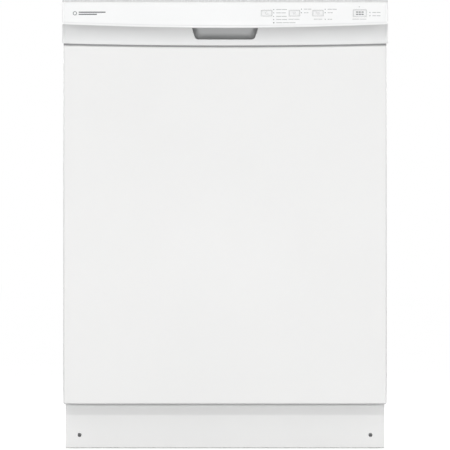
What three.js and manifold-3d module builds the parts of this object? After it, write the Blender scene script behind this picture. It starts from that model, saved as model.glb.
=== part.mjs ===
// Built-in dishwasher, in millimetres. +Z is up, the door faces -Y, and the floor is z = 0.
// The origin is the middle of the footprint, on the floor.

import * as THREE from "three";
import { mergeVertices } from "three/addons/utils/BufferGeometryUtils.js";
import Module from "manifold-3d";

const wasm = await Module();
wasm.setup();

// ---- Driving dimensions ----

const WIDTH = 606;
const DEPTH = 635;
const HEIGHT = 836;
const GAP = 0.3; // between pieces that touch
const PAST = 1; // how far a cut reaches past a face, and a joined solid into its neighbour
const WELD = 1e-3;

const HALF = WIDTH / 2;
const FRONT = -DEPTH / 2;
const REAR = DEPTH / 2;

const CONSOLE = { bottom: 756, lip: 791.4, wall: 3, end: 4, edge: 1.5, topRadius: 8, steps: 18 };
const SAG = { lip: 6.5, bottom: 3.8, fadeTop: 826 }; // the lower edges bow down by this much mid-width
const SCOOP = {
  depth: 12,
  // The share of the depth reached at each distance below the lip.
  profile: [
    [0.45, 2.5],
    [0.75, 8],
    [0.94, 18],
  ],
};
const SEAM = 3; // shadow gap between the console and the door panel

const LINER = {
  half: 290,
  front: -262,
  back: -247,
  bottom: 100,
  top: 828,
  wall: 3,
  rim: 28,
  slotRoom: 4,
};
const PANEL = {
  half: 301,
  front: FRONT + 15.5,
  back: LINER.back - 2,
  bottom: 84.6,
  sheet: 1,
  bend: 3,
  hem: 22,
  openHeight: 20,
};
const HINGE = {
  y: -262,
  z: 97,
  pin: 4,
  hole: 4.6,
  pinX: [290.6, 296],
  arm: { x: [291.6, 293.6], y: [-298, -252], z: [90, 190] },
};

const TUB = { half: 276, wall: 4, front: -243, back: 292, bottom: 104, ledge: 128, top: 816 };
const FLANGE = { half: 296, bottom: 103, top: 832, thick: 3 };
const BASIN = { half: 236, front: -232, back: 264 };
const TUB_MIDDLE = 24; // y of the spray arm's axis

const SHEET = 1.5; // thickness of the base's steel sheet
const RAIL = {
  outer: 298.5,
  inner: 298.5 - SHEET,
  bottom: 30,
  top: 103.7,
  front: -214,
  back: 296,
  foot: 30,
  seat: 40,
  ear: { x: 295, y: 10, z: 12 },
};
const LEG = {
  x: 280,
  ys: [-194, 276],
  pad: 16,
  padHeight: 8,
  stud: 5,
  studTop: 70,
  room: 0.6,
  nut: { radius: 9, height: 7 },
};
const KICK = {
  half: 298,
  front: -234,
  bottom: 2,
  fold: 63.2,
  top: 92,
  lean: 22,
  notch: { x: 294.5, z: 84, depth: 30 }, // the upper corners clear the hinge ears
};
const SCREW = { x: 272, z: 25.5, head: 4.6, headDepth: 2.2, shank: 2.2, room: 0.4, reach: 10 };

const WIRE = 4;
const HOOP = 5;
const LOWER_RACK = { half: 232, front: -213, back: 262, low: 150, high: 290, bars: 6 };
const UPPER_RACK = { half: 245, front: -213, back: 252, low: 470, high: 590, bars: 6 };
const WHEEL = { radius: 16, width: 8, axle: 3, bore: 3.5, gap: 6, stub: 2, ys: [-130, 180] };
const AXLE_PAD = { inset: 3.5, thick: 3, half: 9, drop: 7, rise: 22 };
const BASKET = {
  x: [128, 222],
  y: [-190, 30],
  low: 157,
  high: 262,
  wall: 2.5,
  cells: 3,
  post: { half: 5, drop: 30, rise: 26 },
  grip: { half: 6, low: 20, high: 28 },
};

const LOWER_ARM = { reach: 220, low: 130, high: 142 };
const UPPER_ARM = { reach: 215, low: 446, high: 456 };
const BLADE = { tip: 14, shoulder: 20, waist: 24, taper: 30, waistX: 40 };
const HUB = { radius: 20, rise: 5, drop: 4, bearing: 22, bearingDrop: 6, socket: 15 };

// ---- Finishes: colour, roughness, metalness ----

const FINISH = {
  whitePaint: [0xf3f3f2, 0.35, 0],
  whitePlastic: [0xf1f2f2, 0.4, 0],
  pocketPlastic: [0xb9babb, 0.5, 0],
  buttonPlastic: [0xf4f5f5, 0.45, 0],
  tubPlastic: [0xc9ccce, 0.5, 0],
  linerPlastic: [0xd5d7d8, 0.45, 0],
  greyPlastic: [0x9a9ea2, 0.5, 0],
  darkPlastic: [0x34373a, 0.55, 0],
  rubber: [0x4a4c4e, 0.8, 0],
  hose: [0x8b8e90, 0.6, 0],
  felt: [0x57534c, 0.95, 0],
  zinc: [0xb4b8bb, 0.4, 0.9],
  motorSteel: [0x8f9498, 0.45, 0.8],
  heater: [0x55534f, 0.5, 0.7],
  rackCoat: [0x8fa0ad, 0.5, 0],
};

// ---- Solids from three.js geometry ----

function solidOf(geometry) {
  const bare = geometry.clone();
  bare.deleteAttribute("normal");
  bare.deleteAttribute("uv");
  const welded = mergeVertices(bare, WELD);
  const vertProperties = welded.attributes.position.array;
  const triVerts = new Uint32Array(welded.index.array);
  return new wasm.Manifold(new wasm.Mesh({ numProp: 3, vertProperties, triVerts }));
}

// A box between any two opposite corners.
function block(a, b) {
  const size = a.map((value, i) => Math.abs(value - b[i]));
  const middle = a.map((value, i) => (value + b[i]) / 2);
  return solidOf(new THREE.BoxGeometry(...size).translate(...middle));
}

// A round bar between two points.
function rod(from, to, radius, sides = 16) {
  const start = new THREE.Vector3(...from);
  const end = new THREE.Vector3(...to);
  const along = end.clone().sub(start);
  const geometry = new THREE.CylinderGeometry(radius, radius, along.length(), sides);
  const axis = new THREE.Vector3(0, 1, 0);
  const turn = new THREE.Quaternion().setFromUnitVectors(axis, along.clone().normalize());
  geometry.applyQuaternion(turn);
  const middle = start.add(end).multiplyScalar(0.5);
  return solidOf(geometry.translate(middle.x, middle.y, middle.z));
}

// A ring or cup: a closed outline of [radius, height] pairs turned about the Z axis.
function turned(outline, [x, y, z], sides = 24) {
  const points = outline.map(([radius, height]) => new THREE.Vector2(radius, height));
  const geometry = new THREE.LatheGeometry(points, sides);
  return solidOf(geometry.rotateX(Math.PI / 2).translate(x, y, z));
}

// A round tube along a smooth curve through the points.
function hose(points, radius, steps, sides = 8) {
  const path = new THREE.CatmullRomCurve3(points.map((point) => new THREE.Vector3(...point)));
  const section = new THREE.Shape().absarc(0, 0, radius, 0, 2 * Math.PI);
  const options = { steps, extrudePath: path, curveSegments: sides / 2 };
  return solidOf(new THREE.ExtrudeGeometry(section, options));
}

// A closed outline of [y, z] points carried along X, as a geometry that can still be bent.
function sideProfile(points, x0, x1, steps = 1) {
  const shape = new THREE.Shape(points.map(([y, z]) => new THREE.Vector2(y, z)));
  const geometry = new THREE.ExtrudeGeometry(shape, { depth: x1 - x0, steps, bevelEnabled: false });
  const turn = new THREE.Matrix4().makeBasis(
    new THREE.Vector3(0, 1, 0),
    new THREE.Vector3(0, 0, 1),
    new THREE.Vector3(1, 0, 0),
  );
  return geometry.applyMatrix4(turn).translate(x0, 0, 0);
}

// A closed outline of [x, z] points carried along Y.
function frontProfile(points, y0, y1) {
  const shape = new THREE.Shape(points.map(([x, z]) => new THREE.Vector2(x, z)));
  const geometry = new THREE.ExtrudeGeometry(shape, { depth: y1 - y0, bevelEnabled: false });
  return geometry.rotateX(Math.PI / 2).translate(0, y1, 0);
}

// Points on part of a circle, its ends given in degrees.
function arc(centre, radius, from, to, count) {
  return Array.from({ length: count + 1 }, (_, i) => {
    const angle = THREE.MathUtils.degToRad(from + ((to - from) * i) / count);
    return [centre[0] + radius * Math.cos(angle), centre[1] + radius * Math.sin(angle)];
  });
}

function join(solids) {
  return solids.reduce((sum, solid) => sum.add(solid));
}

function cut(solid, holes) {
  return holes.reduce((rest, hole) => rest.subtract(hole), solid);
}

// Evenly spaced values, to the half millimetre.
function spread(from, to, count) {
  const step = (to - from) / (count - 1);
  return Array.from({ length: count }, (_, i) => Math.round((from + step * i) * 2) / 2);
}

const dishwasher = new THREE.Group();

function addPiece(name, solid, finish) {
  const made = solid.getMesh();
  const geometry = new THREE.BufferGeometry();
  geometry.setAttribute("position", new THREE.BufferAttribute(made.vertProperties, 3));
  geometry.setIndex(new THREE.BufferAttribute(made.triVerts, 1));
  const [color, roughness, metalness] = FINISH[finish];
  const material = new THREE.MeshStandardMaterial({ color, roughness, metalness, flatShading: true });
  const mesh = new THREE.Mesh(geometry, material);
  mesh.name = name;
  dishwasher.add(mesh);
}

const SIDES = [
  ["left", -1],
  ["right", 1],
];

// ---- Console ----

// How far an edge at this height hangs below a straight one, at this distance from the middle.
function sagAt(x, z) {
  const across = 1 - (x / HALF) ** 2;
  if (z >= CONSOLE.lip) {
    const share = (SAG.fadeTop - z) / (SAG.fadeTop - CONSOLE.lip);
    return SAG.lip * THREE.MathUtils.clamp(share, 0, 1) * across;
  }
  const down = THREE.MathUtils.clamp((CONSOLE.lip - z) / (CONSOLE.lip - CONSOLE.bottom), 0, 1);
  return THREE.MathUtils.lerp(SAG.lip, SAG.bottom, down) * across;
}

function bowed(geometry) {
  const position = geometry.attributes.position;
  for (let i = 0; i < position.count; i++) {
    const z = position.getZ(i);
    position.setZ(i, z - sagAt(position.getX(i), z));
  }
  return solidOf(geometry);
}

const BUTTONS = {
  cycles_button: { x: 77.5, width: 20.6, height: 11.8 },
  temp_button: { x: 129.2, width: 20.6, height: 11.8 },
  dry_button: { x: 172.9, width: 20.6, height: 11.8 },
  start_button: { x: 250.8, width: 25.5, height: 13.6 },
};
const BUTTON_Z = 812;
const BUTTON_DEPTH = 8;
const POCKET = { top: 61.7, bottom: 57, low: 763, high: 797, brow: 8, back: 30, rise: 9, wall: 2 };
const MODULE = { x: [66, 285], z: [797, 828], behind: 2, thick: 18 };
const LINER_ROOM = 20; // the console's back is open to this height above its lower edge
const SCOOP_WALL_BACK = FRONT + SCOOP.depth + CONSOLE.wall;

function consoleShell() {
  const { bottom, lip, wall, end, edge, topRadius, steps } = CONSOLE;
  const back = LINER.back - 0.5;
  const topArc = arc([FRONT + topRadius, HEIGHT - topRadius], topRadius, 90, 180, 4);
  const outline = [
    [back, HEIGHT],
    ...topArc,
    [FRONT, lip + edge],
    [FRONT + edge, lip],
    ...SCOOP.profile.map(([share, drop]) => [FRONT + SCOOP.depth * share, lip - drop]),
    [FRONT + SCOOP.depth, bottom + 2 * edge],
    [FRONT + SCOOP.depth + edge, bottom],
    [back, bottom],
  ];
  const hollow = [
    [back + PAST, HEIGHT - wall],
    [FRONT + topRadius, HEIGHT - wall],
    [FRONT + wall, HEIGHT - topRadius],
    [FRONT + wall, lip + wall],
    [SCOOP_WALL_BACK, lip - wall - PAST],
    [SCOOP_WALL_BACK, bottom + wall],
    [back + PAST, bottom + wall],
  ];
  const shell = bowed(sideProfile(outline, -HALF, HALF, steps));
  const inside = bowed(sideProfile(hollow, -HALF + end, HALF - end, steps));
  const mouth = frontProfile(
    [
      [-POCKET.bottom, POCKET.low + PAST],
      [POCKET.bottom, POCKET.low + PAST],
      [POCKET.top, lip - POCKET.brow],
      [-POCKET.top, lip - POCKET.brow],
    ],
    FRONT - PAST,
    SCOOP_WALL_BACK + PAST,
  );
  const buttonHoles = Object.values(BUTTONS).map(({ x, width, height }) =>
    block(
      [x - width / 2 - GAP, FRONT - PAST, BUTTON_Z - height / 2 - GAP],
      [x + width / 2 + GAP, FRONT + wall + PAST, BUTTON_Z + height / 2 + GAP],
    ),
  );
  // The lower wall stops at the liner, which passes behind it.
  const linerRoom = block(
    [-HALF + end, LINER.front - 0.5, bottom - SAG.bottom - PAST],
    [HALF - end, back + PAST, bottom + LINER_ROOM],
  );
  return cut(shell, [inside, solidOf(mouth), linerRoom, ...buttonHoles]);
}

function handlePocket() {
  const { top, low, high, back, rise, wall } = POCKET;
  const front = SCOOP_WALL_BACK + GAP;
  const cup = block([-top - wall, front, low - wall], [top + wall, front + back, high + wall]);
  const slope = sideProfile(
    [
      [front - PAST, low],
      [front + back - wall, low + rise],
      [front + back - wall, high],
      [front - PAST, high],
    ],
    -top,
    top,
  );
  return cup.subtract(solidOf(slope));
}

function addConsole() {
  addPiece("console", consoleShell(), "whitePlastic");
  addPiece("handle_pocket", handlePocket(), "pocketPlastic");
  for (const [name, { x, width, height }] of Object.entries(BUTTONS)) {
    const cap = block(
      [x - width / 2, FRONT, BUTTON_Z - height / 2],
      [x + width / 2, FRONT + BUTTON_DEPTH, BUTTON_Z + height / 2],
    );
    addPiece(name, cap, "buttonPlastic");
  }
  const boardFront = FRONT + BUTTON_DEPTH + MODULE.behind;
  const board = block(
    [MODULE.x[0], boardFront, MODULE.z[0]],
    [MODULE.x[1], boardFront + MODULE.thick, MODULE.z[1]],
  );
  addPiece("control_module", board, "darkPlastic");
}

// ---- Latch ----

const LATCH = {
  half: 20,
  front: -304,
  back: LINER.front - GAP,
  low: 808,
  high: 832.4,
  wall: 6,
  roof: 0.6,
};
const STRIKE = {
  half: 8,
  low: 822.5,
  high: 825.5,
  tip: -268,
  side: 3,
  window: [-267, -262],
  foot: { wider: 6, taller: 4, thick: 2 },
};
const CLAW = {
  half: 3,
  y: -288,
  z: 829,
  thick: 2.4,
  pivot: 2.2,
  tipBack: -256.5,
  tooth: [-265.5, -263.5],
  toothLift: 0.6,
  slotHalf: 11,
};

function latchBody() {
  const { half, front, back, low, high, wall, roof } = LATCH;
  const body = block([-half, front, low], [half, back, high]);
  const slot = block(
    [-CLAW.slotHalf, front + wall, STRIKE.low - STRIKE.side],
    [CLAW.slotHalf, back + PAST, high - roof],
  );
  return body.subtract(slot);
}

function latchClaw() {
  const { half, y, z, thick, pivot, tipBack, tooth, toothLift, slotHalf } = CLAW;
  const arm = block([-half, y, z - thick / 2], [half, tipBack - GAP, z + thick / 2]);
  const tip = block([-half, tooth[0], STRIKE.high + toothLift], [half, tooth[1], z]);
  const axle = rod([-slotHalf + GAP, y, z], [slotHalf - GAP, y, z], pivot, 10);
  return join([arm, tip, axle]);
}

// A plate that stands out from the tub's flange, with a window for the claw's tooth.
function strike() {
  const { half, low, high, tip, side, window, foot } = STRIKE;
  const back = TUB.front - GAP;
  const plate = block([-half, tip, low], [half, back, high]);
  const opening = block([-half + side, window[0], low - PAST], [half - side, window[1], high + PAST]);
  const base = block(
    [-half - foot.wider, back - foot.thick, low - foot.taller],
    [half + foot.wider, back, high + foot.taller],
  );
  return join([plate.subtract(opening), base]);
}

// ---- Door ----

const DISPENSER = { x: [-92, 92], z: [330, 424], back: -256, depth: 30, lap: 6, inset: 7 };
const CUP = { x: [-80, -14], z: [344, 404], depth: 24, wall: 3 };
const COVER = {
  thick: 3,
  hinge: [-254, 342],
  lap: 4,
  knuckle: 1.6,
  tab: { x: [-54, -40], z: [396, 402], rise: 3 },
};
const CAP = {
  x: 46,
  z: 384,
  radius: 17,
  thick: 5,
  seat: 8,
  lap: 4,
  ridge: { reach: 12, half: 2.5, rise: 4 },
};
const VENT = { x: 170, z: 640, radius: 38, lap: 6, thick: 4, depth: 24, throat: 30, bore: 28 };
const VENT_SLOTS = { count: 4, reach: 18, half: 2.5 };
const BOTTOM_SEAL = { inset: 4, y: [-258, -250], drop: 4 };

function doorPanel() {
  const { half, front, back, bottom, sheet, bend, hem, openHeight } = PANEL;
  const top = CONSOLE.bottom - SEAM;
  const edge = spread(half, -half, CONSOLE.steps).map((x) => [x, top - sagAt(x, CONSOLE.bottom)]);
  const outline = [[-half, bottom], [half, bottom], ...edge];
  const body = solidOf(frontProfile(outline, front, back));
  const corner = bend * 0.4;
  const soften = SIDES.map(([, side]) =>
    solidOf(
      new THREE.BoxGeometry(bend * 2, bend * 2, HEIGHT)
        .rotateZ(Math.PI / 4)
        .translate(side * (half + corner), front - corner, HEIGHT / 2),
    ),
  );
  const under = solidOf(
    new THREE.BoxGeometry(WIDTH * 2, bend * 4, bend * 4)
      .rotateX(Math.PI / 4)
      .translate(0, front - bend, bottom - bend),
  );
  const side = half - sheet;
  const inside = block([-side, front + sheet, bottom + sheet], [side, back + PAST, HEIGHT]);
  const openBack = block([-side, front + hem, bottom - PAST], [side, back + PAST, bottom + openHeight]);
  return cut(body, [...soften, under, inside, openBack]);
}

// The inner skin: a raised field inside a channel, and windows for what passes through it.
function doorLiner() {
  const { half, front, back, bottom, top, wall, rim, slotRoom } = LINER;
  const plate = block([-half, front, bottom], [half, back, top]);
  const field = block([-half + rim, front + wall, bottom + rim], [half - rim, back + PAST, top - rim]);
  const channelOuter = block(
    [-half + wall, front - PAST, bottom + wall],
    [half - wall, back - wall, top - wall],
  );
  const ridge = rim - wall;
  const channelInner = block(
    [-half + ridge, front - 2 * PAST, bottom + ridge],
    [half - ridge, back, top - ridge],
  );
  const channel = channelOuter.subtract(channelInner);
  const [x0, x1] = DISPENSER.x;
  const [z0, z1] = DISPENSER.z;
  const { lap } = DISPENSER;
  const window = block([x0 + lap, front - PAST, z0 + lap], [x1 - lap, back, z1 - lap]);
  const vent = rod([VENT.x, front - PAST, VENT.z], [VENT.x, back, VENT.z], VENT.radius - VENT.lap, 24);
  const slotHalf = STRIKE.half + slotRoom;
  const slot = block([-slotHalf, front - PAST, STRIKE.low - wall], [slotHalf, back + PAST, top + PAST]);
  const slotWall = block([-slotHalf - wall, front, STRIKE.low - 2 * wall], [slotHalf + wall, back, top]);
  return cut(join([cut(plate, [field, channel]), slotWall]), [window, vent, slot]);
}

function dispenserBody() {
  const { back, depth, inset } = DISPENSER;
  const [x0, x1] = DISPENSER.x;
  const [z0, z1] = DISPENSER.z;
  const face = LINER.front + LINER.wall + GAP;
  const plate = block([x0, face, z0], [x1, back, z1]);
  const deep = block([x0 + inset, face - depth, z0 + inset], [x1 - inset, back, z1 - inset]);
  const cup = block([CUP.x[0], back - CUP.depth, CUP.z[0]], [CUP.x[1], back + PAST, CUP.z[1]]);
  const { x, z } = CAP;
  const capSeat = rod([x, back - CAP.seat, z], [x, back + PAST, z], CAP.radius - CAP.lap, 20);
  return cut(join([plate, deep]), [cup, capSeat]);
}

function dispenserCover() {
  const { thick, lap, tab } = COVER;
  const [hingeY, hingeZ] = COVER.hinge;
  const [x0, x1] = [CUP.x[0] - lap, CUP.x[1] + lap];
  const low = DISPENSER.back + GAP;
  const lid = block([x0, low, hingeZ], [x1, low + thick, CUP.z[1] + lap]);
  const knuckle = rod([x0, hingeY, hingeZ], [x1, hingeY, hingeZ], COVER.knuckle, 10);
  const high = low + thick;
  const pull = block([tab.x[0], high - PAST, tab.z[0]], [tab.x[1], high + tab.rise, tab.z[1]]);
  return join([lid, knuckle, pull]);
}

function rinseAidCap() {
  const { x, z, radius, thick, ridge } = CAP;
  const seat = DISPENSER.back + GAP;
  const disc = rod([x, seat, z], [x, seat + thick, z], radius, 20);
  const grip = block(
    [x - ridge.reach, seat + PAST, z - ridge.half],
    [x + ridge.reach, seat + thick + ridge.rise, z + ridge.half],
  );
  return disc.add(grip);
}

// A round grille over a tube that opens into the hollow of the door.
function doorVent() {
  const { x, z, radius, thick, depth, throat, bore } = VENT;
  const { count, reach, half } = VENT_SLOTS;
  const face = LINER.front + LINER.wall + GAP;
  const cap = rod([x, face, z], [x, face + thick, z], radius, 24);
  const tube = rod([x, face - depth, z], [x, face + PAST, z], throat, 24);
  const slots = spread(-reach, reach, count).map((offset) =>
    block(
      [x - reach, face - PAST, z + offset - half],
      [x + reach, face + thick + PAST, z + offset + half],
    ),
  );
  const hole = rod([x, face - depth - PAST, z], [x, face + 2 * PAST, z], bore, 24);
  return cut(cap.add(tube), [hole, ...slots]);
}

function hingeArm(side) {
  const { y, z, hole, arm } = HINGE;
  const [inner, outer] = arm.x;
  const plate = block([side * inner, arm.y[0], arm.z[0]], [side * outer, arm.y[1], arm.z[1]]);
  const bore = rod([side * (inner - PAST), y, z], [side * (outer + PAST), y, z], hole);
  return plate.subtract(bore);
}

function bottomSeal() {
  const { inset, y, drop } = BOTTOM_SEAL;
  const half = LINER.half - inset;
  return block([-half, y[0], LINER.bottom - drop], [half, y[1], LINER.bottom - GAP]);
}

function addDoor() {
  addPiece("door_panel", doorPanel(), "whitePaint");
  addPiece("door_liner", doorLiner(), "linerPlastic");
  addPiece("dispenser_body", dispenserBody(), "greyPlastic");
  addPiece("dispenser_cover", dispenserCover(), "greyPlastic");
  addPiece("rinse_aid_cap", rinseAidCap(), "darkPlastic");
  addPiece("door_vent", doorVent(), "greyPlastic");
  addPiece("latch_body", latchBody(), "darkPlastic");
  addPiece("latch_claw", latchClaw(), "zinc");
  addPiece("door_bottom_seal", bottomSeal(), "rubber");
  for (const [name, side] of SIDES) addPiece(`hinge_arm_${name}`, hingeArm(side), "zinc");
}

// ---- Tub ----

const SUMP = { x: 0, y: TUB_MIDDLE, radius: 58, bottom: 42, wall: 3, floor: 4, lap: 2 };
const SUMP_SIDE = { smaller: 10, front: 30, back: 12 }; // the well round the filter and the throat to it
const POST = { radius: 14, hole: 16, clear: 2 };
const FILTER = { x: 92, y: -40, radius: 36, wall: 3, low: 56, high: 121, plate: 165, thick: 2.5, room: 1 };
const FILTER_BRIDGE = { half: 3, depth: 16, stands: 6 };
const HEATER = { y: 16, radius: 196, tube: 4, z: 121, legs: [60, 84], tip: 84, room: 1 };
const FLOAT = {
  x: -180,
  y: -185,
  dome: 18,
  chamfer: [7, 8],
  low: 118,
  high: 136,
  stem: 4,
  stemLow: 92,
  room: 2,
};
const BASIN_FLOOR = TUB.bottom + TUB.wall;
const GASKET = { inset: 3, width: 11, lift: 8, over: 2, under: 5 };
const BLANKET = { thick: 12, low: 140, setBack: 14 };
const BRACKET = { x: [236, 268], tab: 34, foot: 9, hole: { x: 244, y: 25, radius: 3 } };

// A main well, a smaller one beside it, and a straight throat that joins them.
function sumpOutline(radius, low, high) {
  const well = rod([SUMP.x, SUMP.y, low], [SUMP.x, SUMP.y, high], radius, 28);
  const side = rod([FILTER.x, FILTER.y, low], [FILTER.x, FILTER.y, high], radius - SUMP_SIDE.smaller, 28);
  const wall = radius - SUMP.radius;
  const throat = block(
    [SUMP.x, FILTER.y - SUMP_SIDE.front - wall, low],
    [FILTER.x, SUMP.y + SUMP_SIDE.back + wall, high],
  );
  return join([well, side, throat]);
}

function heaterLegs(radius, low, high) {
  return HEATER.legs.map((x) => {
    const y = HEATER.y + Math.sqrt(HEATER.radius ** 2 - x ** 2);
    return rod([x, y, low], [x, y, high], radius, 10);
  });
}

const HOSE_BACK = TUB.back + 13;
const FILL_PORT = { x: -252, low: 306, high: 334, flange: 20, thick: 5, half: 10, behind: 9 };

function tubShell() {
  const { half, wall, front, back, bottom, ledge, top } = TUB;
  const shell = block([-half, front + PAST, bottom], [half, back, top]);
  const flange = block(
    [-FLANGE.half, front, FLANGE.bottom],
    [FLANGE.half, front + FLANGE.thick, FLANGE.top],
  );
  const cavity = block([-half + wall, front - PAST, ledge], [half - wall, back - wall, top - wall]);
  const basin = block([-BASIN.half, BASIN.front, BASIN_FLOOR], [BASIN.half, BASIN.back, ledge + PAST]);
  const below = bottom - PAST;
  const above = BASIN_FLOOR + PAST;
  const well = sumpOutline(SUMP.radius - SUMP.lap, below, above);
  const stem = rod([FLOAT.x, FLOAT.y, below], [FLOAT.x, FLOAT.y, above], FLOAT.stem + FLOAT.room, 12);
  const legHoles = heaterLegs(HEATER.tube + HEATER.room, below, above);
  return cut(shell.add(flange), [cavity, basin, well, stem, ...legHoles]);
}

// A rubber strip round the sides and top of the opening, between the flange and the closed door.
function tubGasket() {
  const { inset, width, lift, over, under } = GASKET;
  const inner = TUB.half - inset;
  const outer = inner + width;
  const y0 = LINER.back + GAP;
  const y1 = TUB.front - GAP;
  const low = FLANGE.bottom + lift;
  const ring = block([-outer, y0, low], [outer, y1, TUB.top + over]);
  return ring.subtract(block([-inner, y0 - PAST, low - PAST], [inner, y1 + PAST, TUB.top - under]));
}

// Felt over the sides and roof of the tub.
function insulationBlanket() {
  const { thick, low, setBack } = BLANKET;
  const inner = TUB.half + GAP;
  const outer = inner + thick;
  const front = TUB.front + setBack;
  const roof = TUB.top + GAP;
  const whole = block([-outer, front, low], [outer, TUB.back, roof + thick]);
  return whole.subtract(block([-inner, front - PAST, low - PAST], [inner, TUB.back + PAST, roof]));
}

// An angle on the tub's roof, whose top tab is screwed to the worktop above.
function mountingBracket(side) {
  const { x, tab, foot, hole } = BRACKET;
  const y0 = TUB.front + FLANGE.thick + GAP;
  const low = TUB.top + GAP;
  const [near, far] = [side * x[0], side * x[1]];
  const web = block([near, y0, low], [far, y0 + SHEET, HEIGHT]);
  const top = block([near, y0, HEIGHT - SHEET], [far, y0 + tab, HEIGHT]);
  const base = block([near, y0, low], [far, y0 + foot, low + SHEET]);
  const bore = rod(
    [side * hole.x, y0 + hole.y, HEIGHT - SHEET - PAST],
    [side * hole.x, y0 + hole.y, HEIGHT + PAST],
    hole.radius,
    12,
  );
  return cut(join([web, top, base]), [bore]);
}

function addTub() {
  addPiece("tub", tubShell(), "tubPlastic");
  addPiece("tub_gasket", tubGasket(), "rubber");
  addPiece("insulation_blanket", insulationBlanket(), "felt");
  addPiece("latch_strike", strike(), "zinc");
  for (const [name, side] of SIDES) addPiece(`mounting_bracket_${name}`, mountingBracket(side), "zinc");
}

// ---- Water and heat ----

const FEED = { stand: 9, half: 10, deep: 8, lift: 2, nozzle: 26, drop: 22 };
const DOCK = { radius: 7, reach: 14, rise: 6 }; // where the upper rack's tube meets the feed tube
const PUMP = {
  z: 62,
  volute: { end: 26, radius: 36 },
  motor: { end: 120, radius: 40 },
  cap: { end: 132, radius: 22 },
};
const DRAIN_PUMP = {
  z: 66,
  head: { depth: 24, radius: 26 },
  motor: { half: 24, back: 66, z: [44, 92] },
  spout: { tip: -44, y: 12, radius: 8 },
};

function sump() {
  const { x, y, radius, bottom, wall, floor } = SUMP;
  const rim = TUB.bottom - GAP;
  const cup = sumpOutline(radius + wall, bottom, rim);
  const inside = sumpOutline(radius, bottom + floor, rim + PAST);
  const post = rod([x, y, bottom], [x, y, LOWER_ARM.low - POST.clear], POST.radius, 18);
  return cup.subtract(inside).add(post);
}

function filterPlate() {
  const { x, y, radius, plate, thick, room } = FILTER;
  const low = BASIN_FLOOR + GAP;
  const high = low + thick;
  const disc = rod([SUMP.x, HEATER.y, low], [SUMP.x, HEATER.y, high], plate, 40);
  const cupHole = rod([x, y, low - PAST], [x, y, high + PAST], radius + room, 24);
  const postHole = rod([SUMP.x, SUMP.y, low - PAST], [SUMP.x, SUMP.y, high + PAST], POST.hole, 18);
  return cut(disc, [cupHole, postHole]);
}

function filterCup() {
  const { x, y, radius, low, high, wall } = FILTER;
  const { half, depth, stands } = FILTER_BRIDGE;
  const body = rod([x, y, low], [x, y, high - stands], radius, 24);
  const hollow = rod([x, y, low + wall], [x, y, high], radius - wall, 24);
  const bar = block([x - radius, y - half, high - depth], [x + radius, y + half, high]);
  const bridge = bar.intersect(rod([x, y, low], [x, y, high], radius - 0.5, 24));
  return body.subtract(hollow).add(bridge);
}

function heatingElement() {
  const { y, radius, tube, z, tip } = HEATER;
  const section = arc([radius, 0], tube, 0, 360, 6);
  const ring = turned(section, [0, y, z], 36);
  return join([ring, ...heaterLegs(tube, tip, z)]);
}

function float() {
  const { x, y, dome, stem, low, high, stemLow, chamfer } = FLOAT;
  const cap = turned(
    [
      [0, low],
      [dome, low],
      [dome, high - chamfer[1]],
      [dome - chamfer[0], high],
      [0, high],
    ],
    [x, y, 0],
    20,
  );
  return cap.add(rod([x, y, stemLow], [x, y, low + PAST], stem, 12));
}

// Up the rear wall, forward along the ceiling, and down to the ceiling nozzle.
function feedTube() {
  const { stand, half, deep, lift, nozzle, drop } = FEED;
  const y = TUB.back - TUB.wall - stand;
  const ceiling = TUB.top - TUB.wall - stand;
  const dockZ = UPPER_ARM.high + DOCK.rise;
  const riser = block([-half, y - deep, TUB.ledge + lift], [half, y + deep, ceiling]);
  const run = block([-half, TUB_MIDDLE - half, ceiling - deep], [half, y + deep, ceiling + deep]);
  const head = rod([0, TUB_MIDDLE, ceiling - drop], [0, TUB_MIDDLE, ceiling], nozzle, 20);
  const dock = rod([0, y - DOCK.reach, dockZ], [0, y, dockZ], DOCK.radius, 14);
  return join([riser, run, head, dock]);
}

function circulationPump() {
  const { z, volute, motor, cap } = PUMP;
  const { y } = SUMP;
  const start = SUMP.x - SUMP.radius - SUMP.wall - GAP;
  const drums = [
    rod([start - volute.end, y, z], [start, y, z], volute.radius, 24),
    rod([start - motor.end, y, z], [start - volute.end + PAST, y, z], motor.radius, 24),
    rod([start - cap.end, y, z], [start - motor.end + PAST, y, z], cap.radius, 16),
  ];
  return join(drums);
}

const DRAIN_PUMP_Y = SUMP.y + SUMP.radius + SUMP.wall + GAP;

function drainPump() {
  const { z, head, motor, spout } = DRAIN_PUMP;
  const y = DRAIN_PUMP_Y;
  const drum = rod([0, y, z], [0, y + head.depth, z], head.radius, 20);
  const box = block(
    [-motor.half, y + head.depth - PAST, motor.z[0]],
    [motor.half, y + motor.back, motor.z[1]],
  );
  const pipe = rod([0, y + spout.y, z], [spout.tip, y + spout.y, z], spout.radius, 14);
  return join([drum, box, pipe]);
}

const DRAIN = {
  radius: 9.5,
  steps: 56,
  up: -210,
  down: -120,
  loopTop: 500,
  fitting: { z: [96, 134], radius: 11.5 },
};
const FILL = { radius: 6, steps: 30 };
const INLET = {
  x: [-246, -206],
  y: [-206, -150],
  z: [36, 92],
  front: 14,
  rear: 12,
  height: 30,
  coil: { radius: 15, below: 8 },
  outlet: { x: -226, half: 8, start: 20, z: [12, 14] },
  tab: { x: 8, z: [4, 20] },
};
const JUNCTION = { x: [196, 262], y: [-206, -140], z: [34, 88], tab: { x: [210, 248], z: [38, 54] } };
const CHANNEL_BACK = KICK.front + SHEET + GAP + SHEET + GAP; // just behind the front crossmember's web

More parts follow.
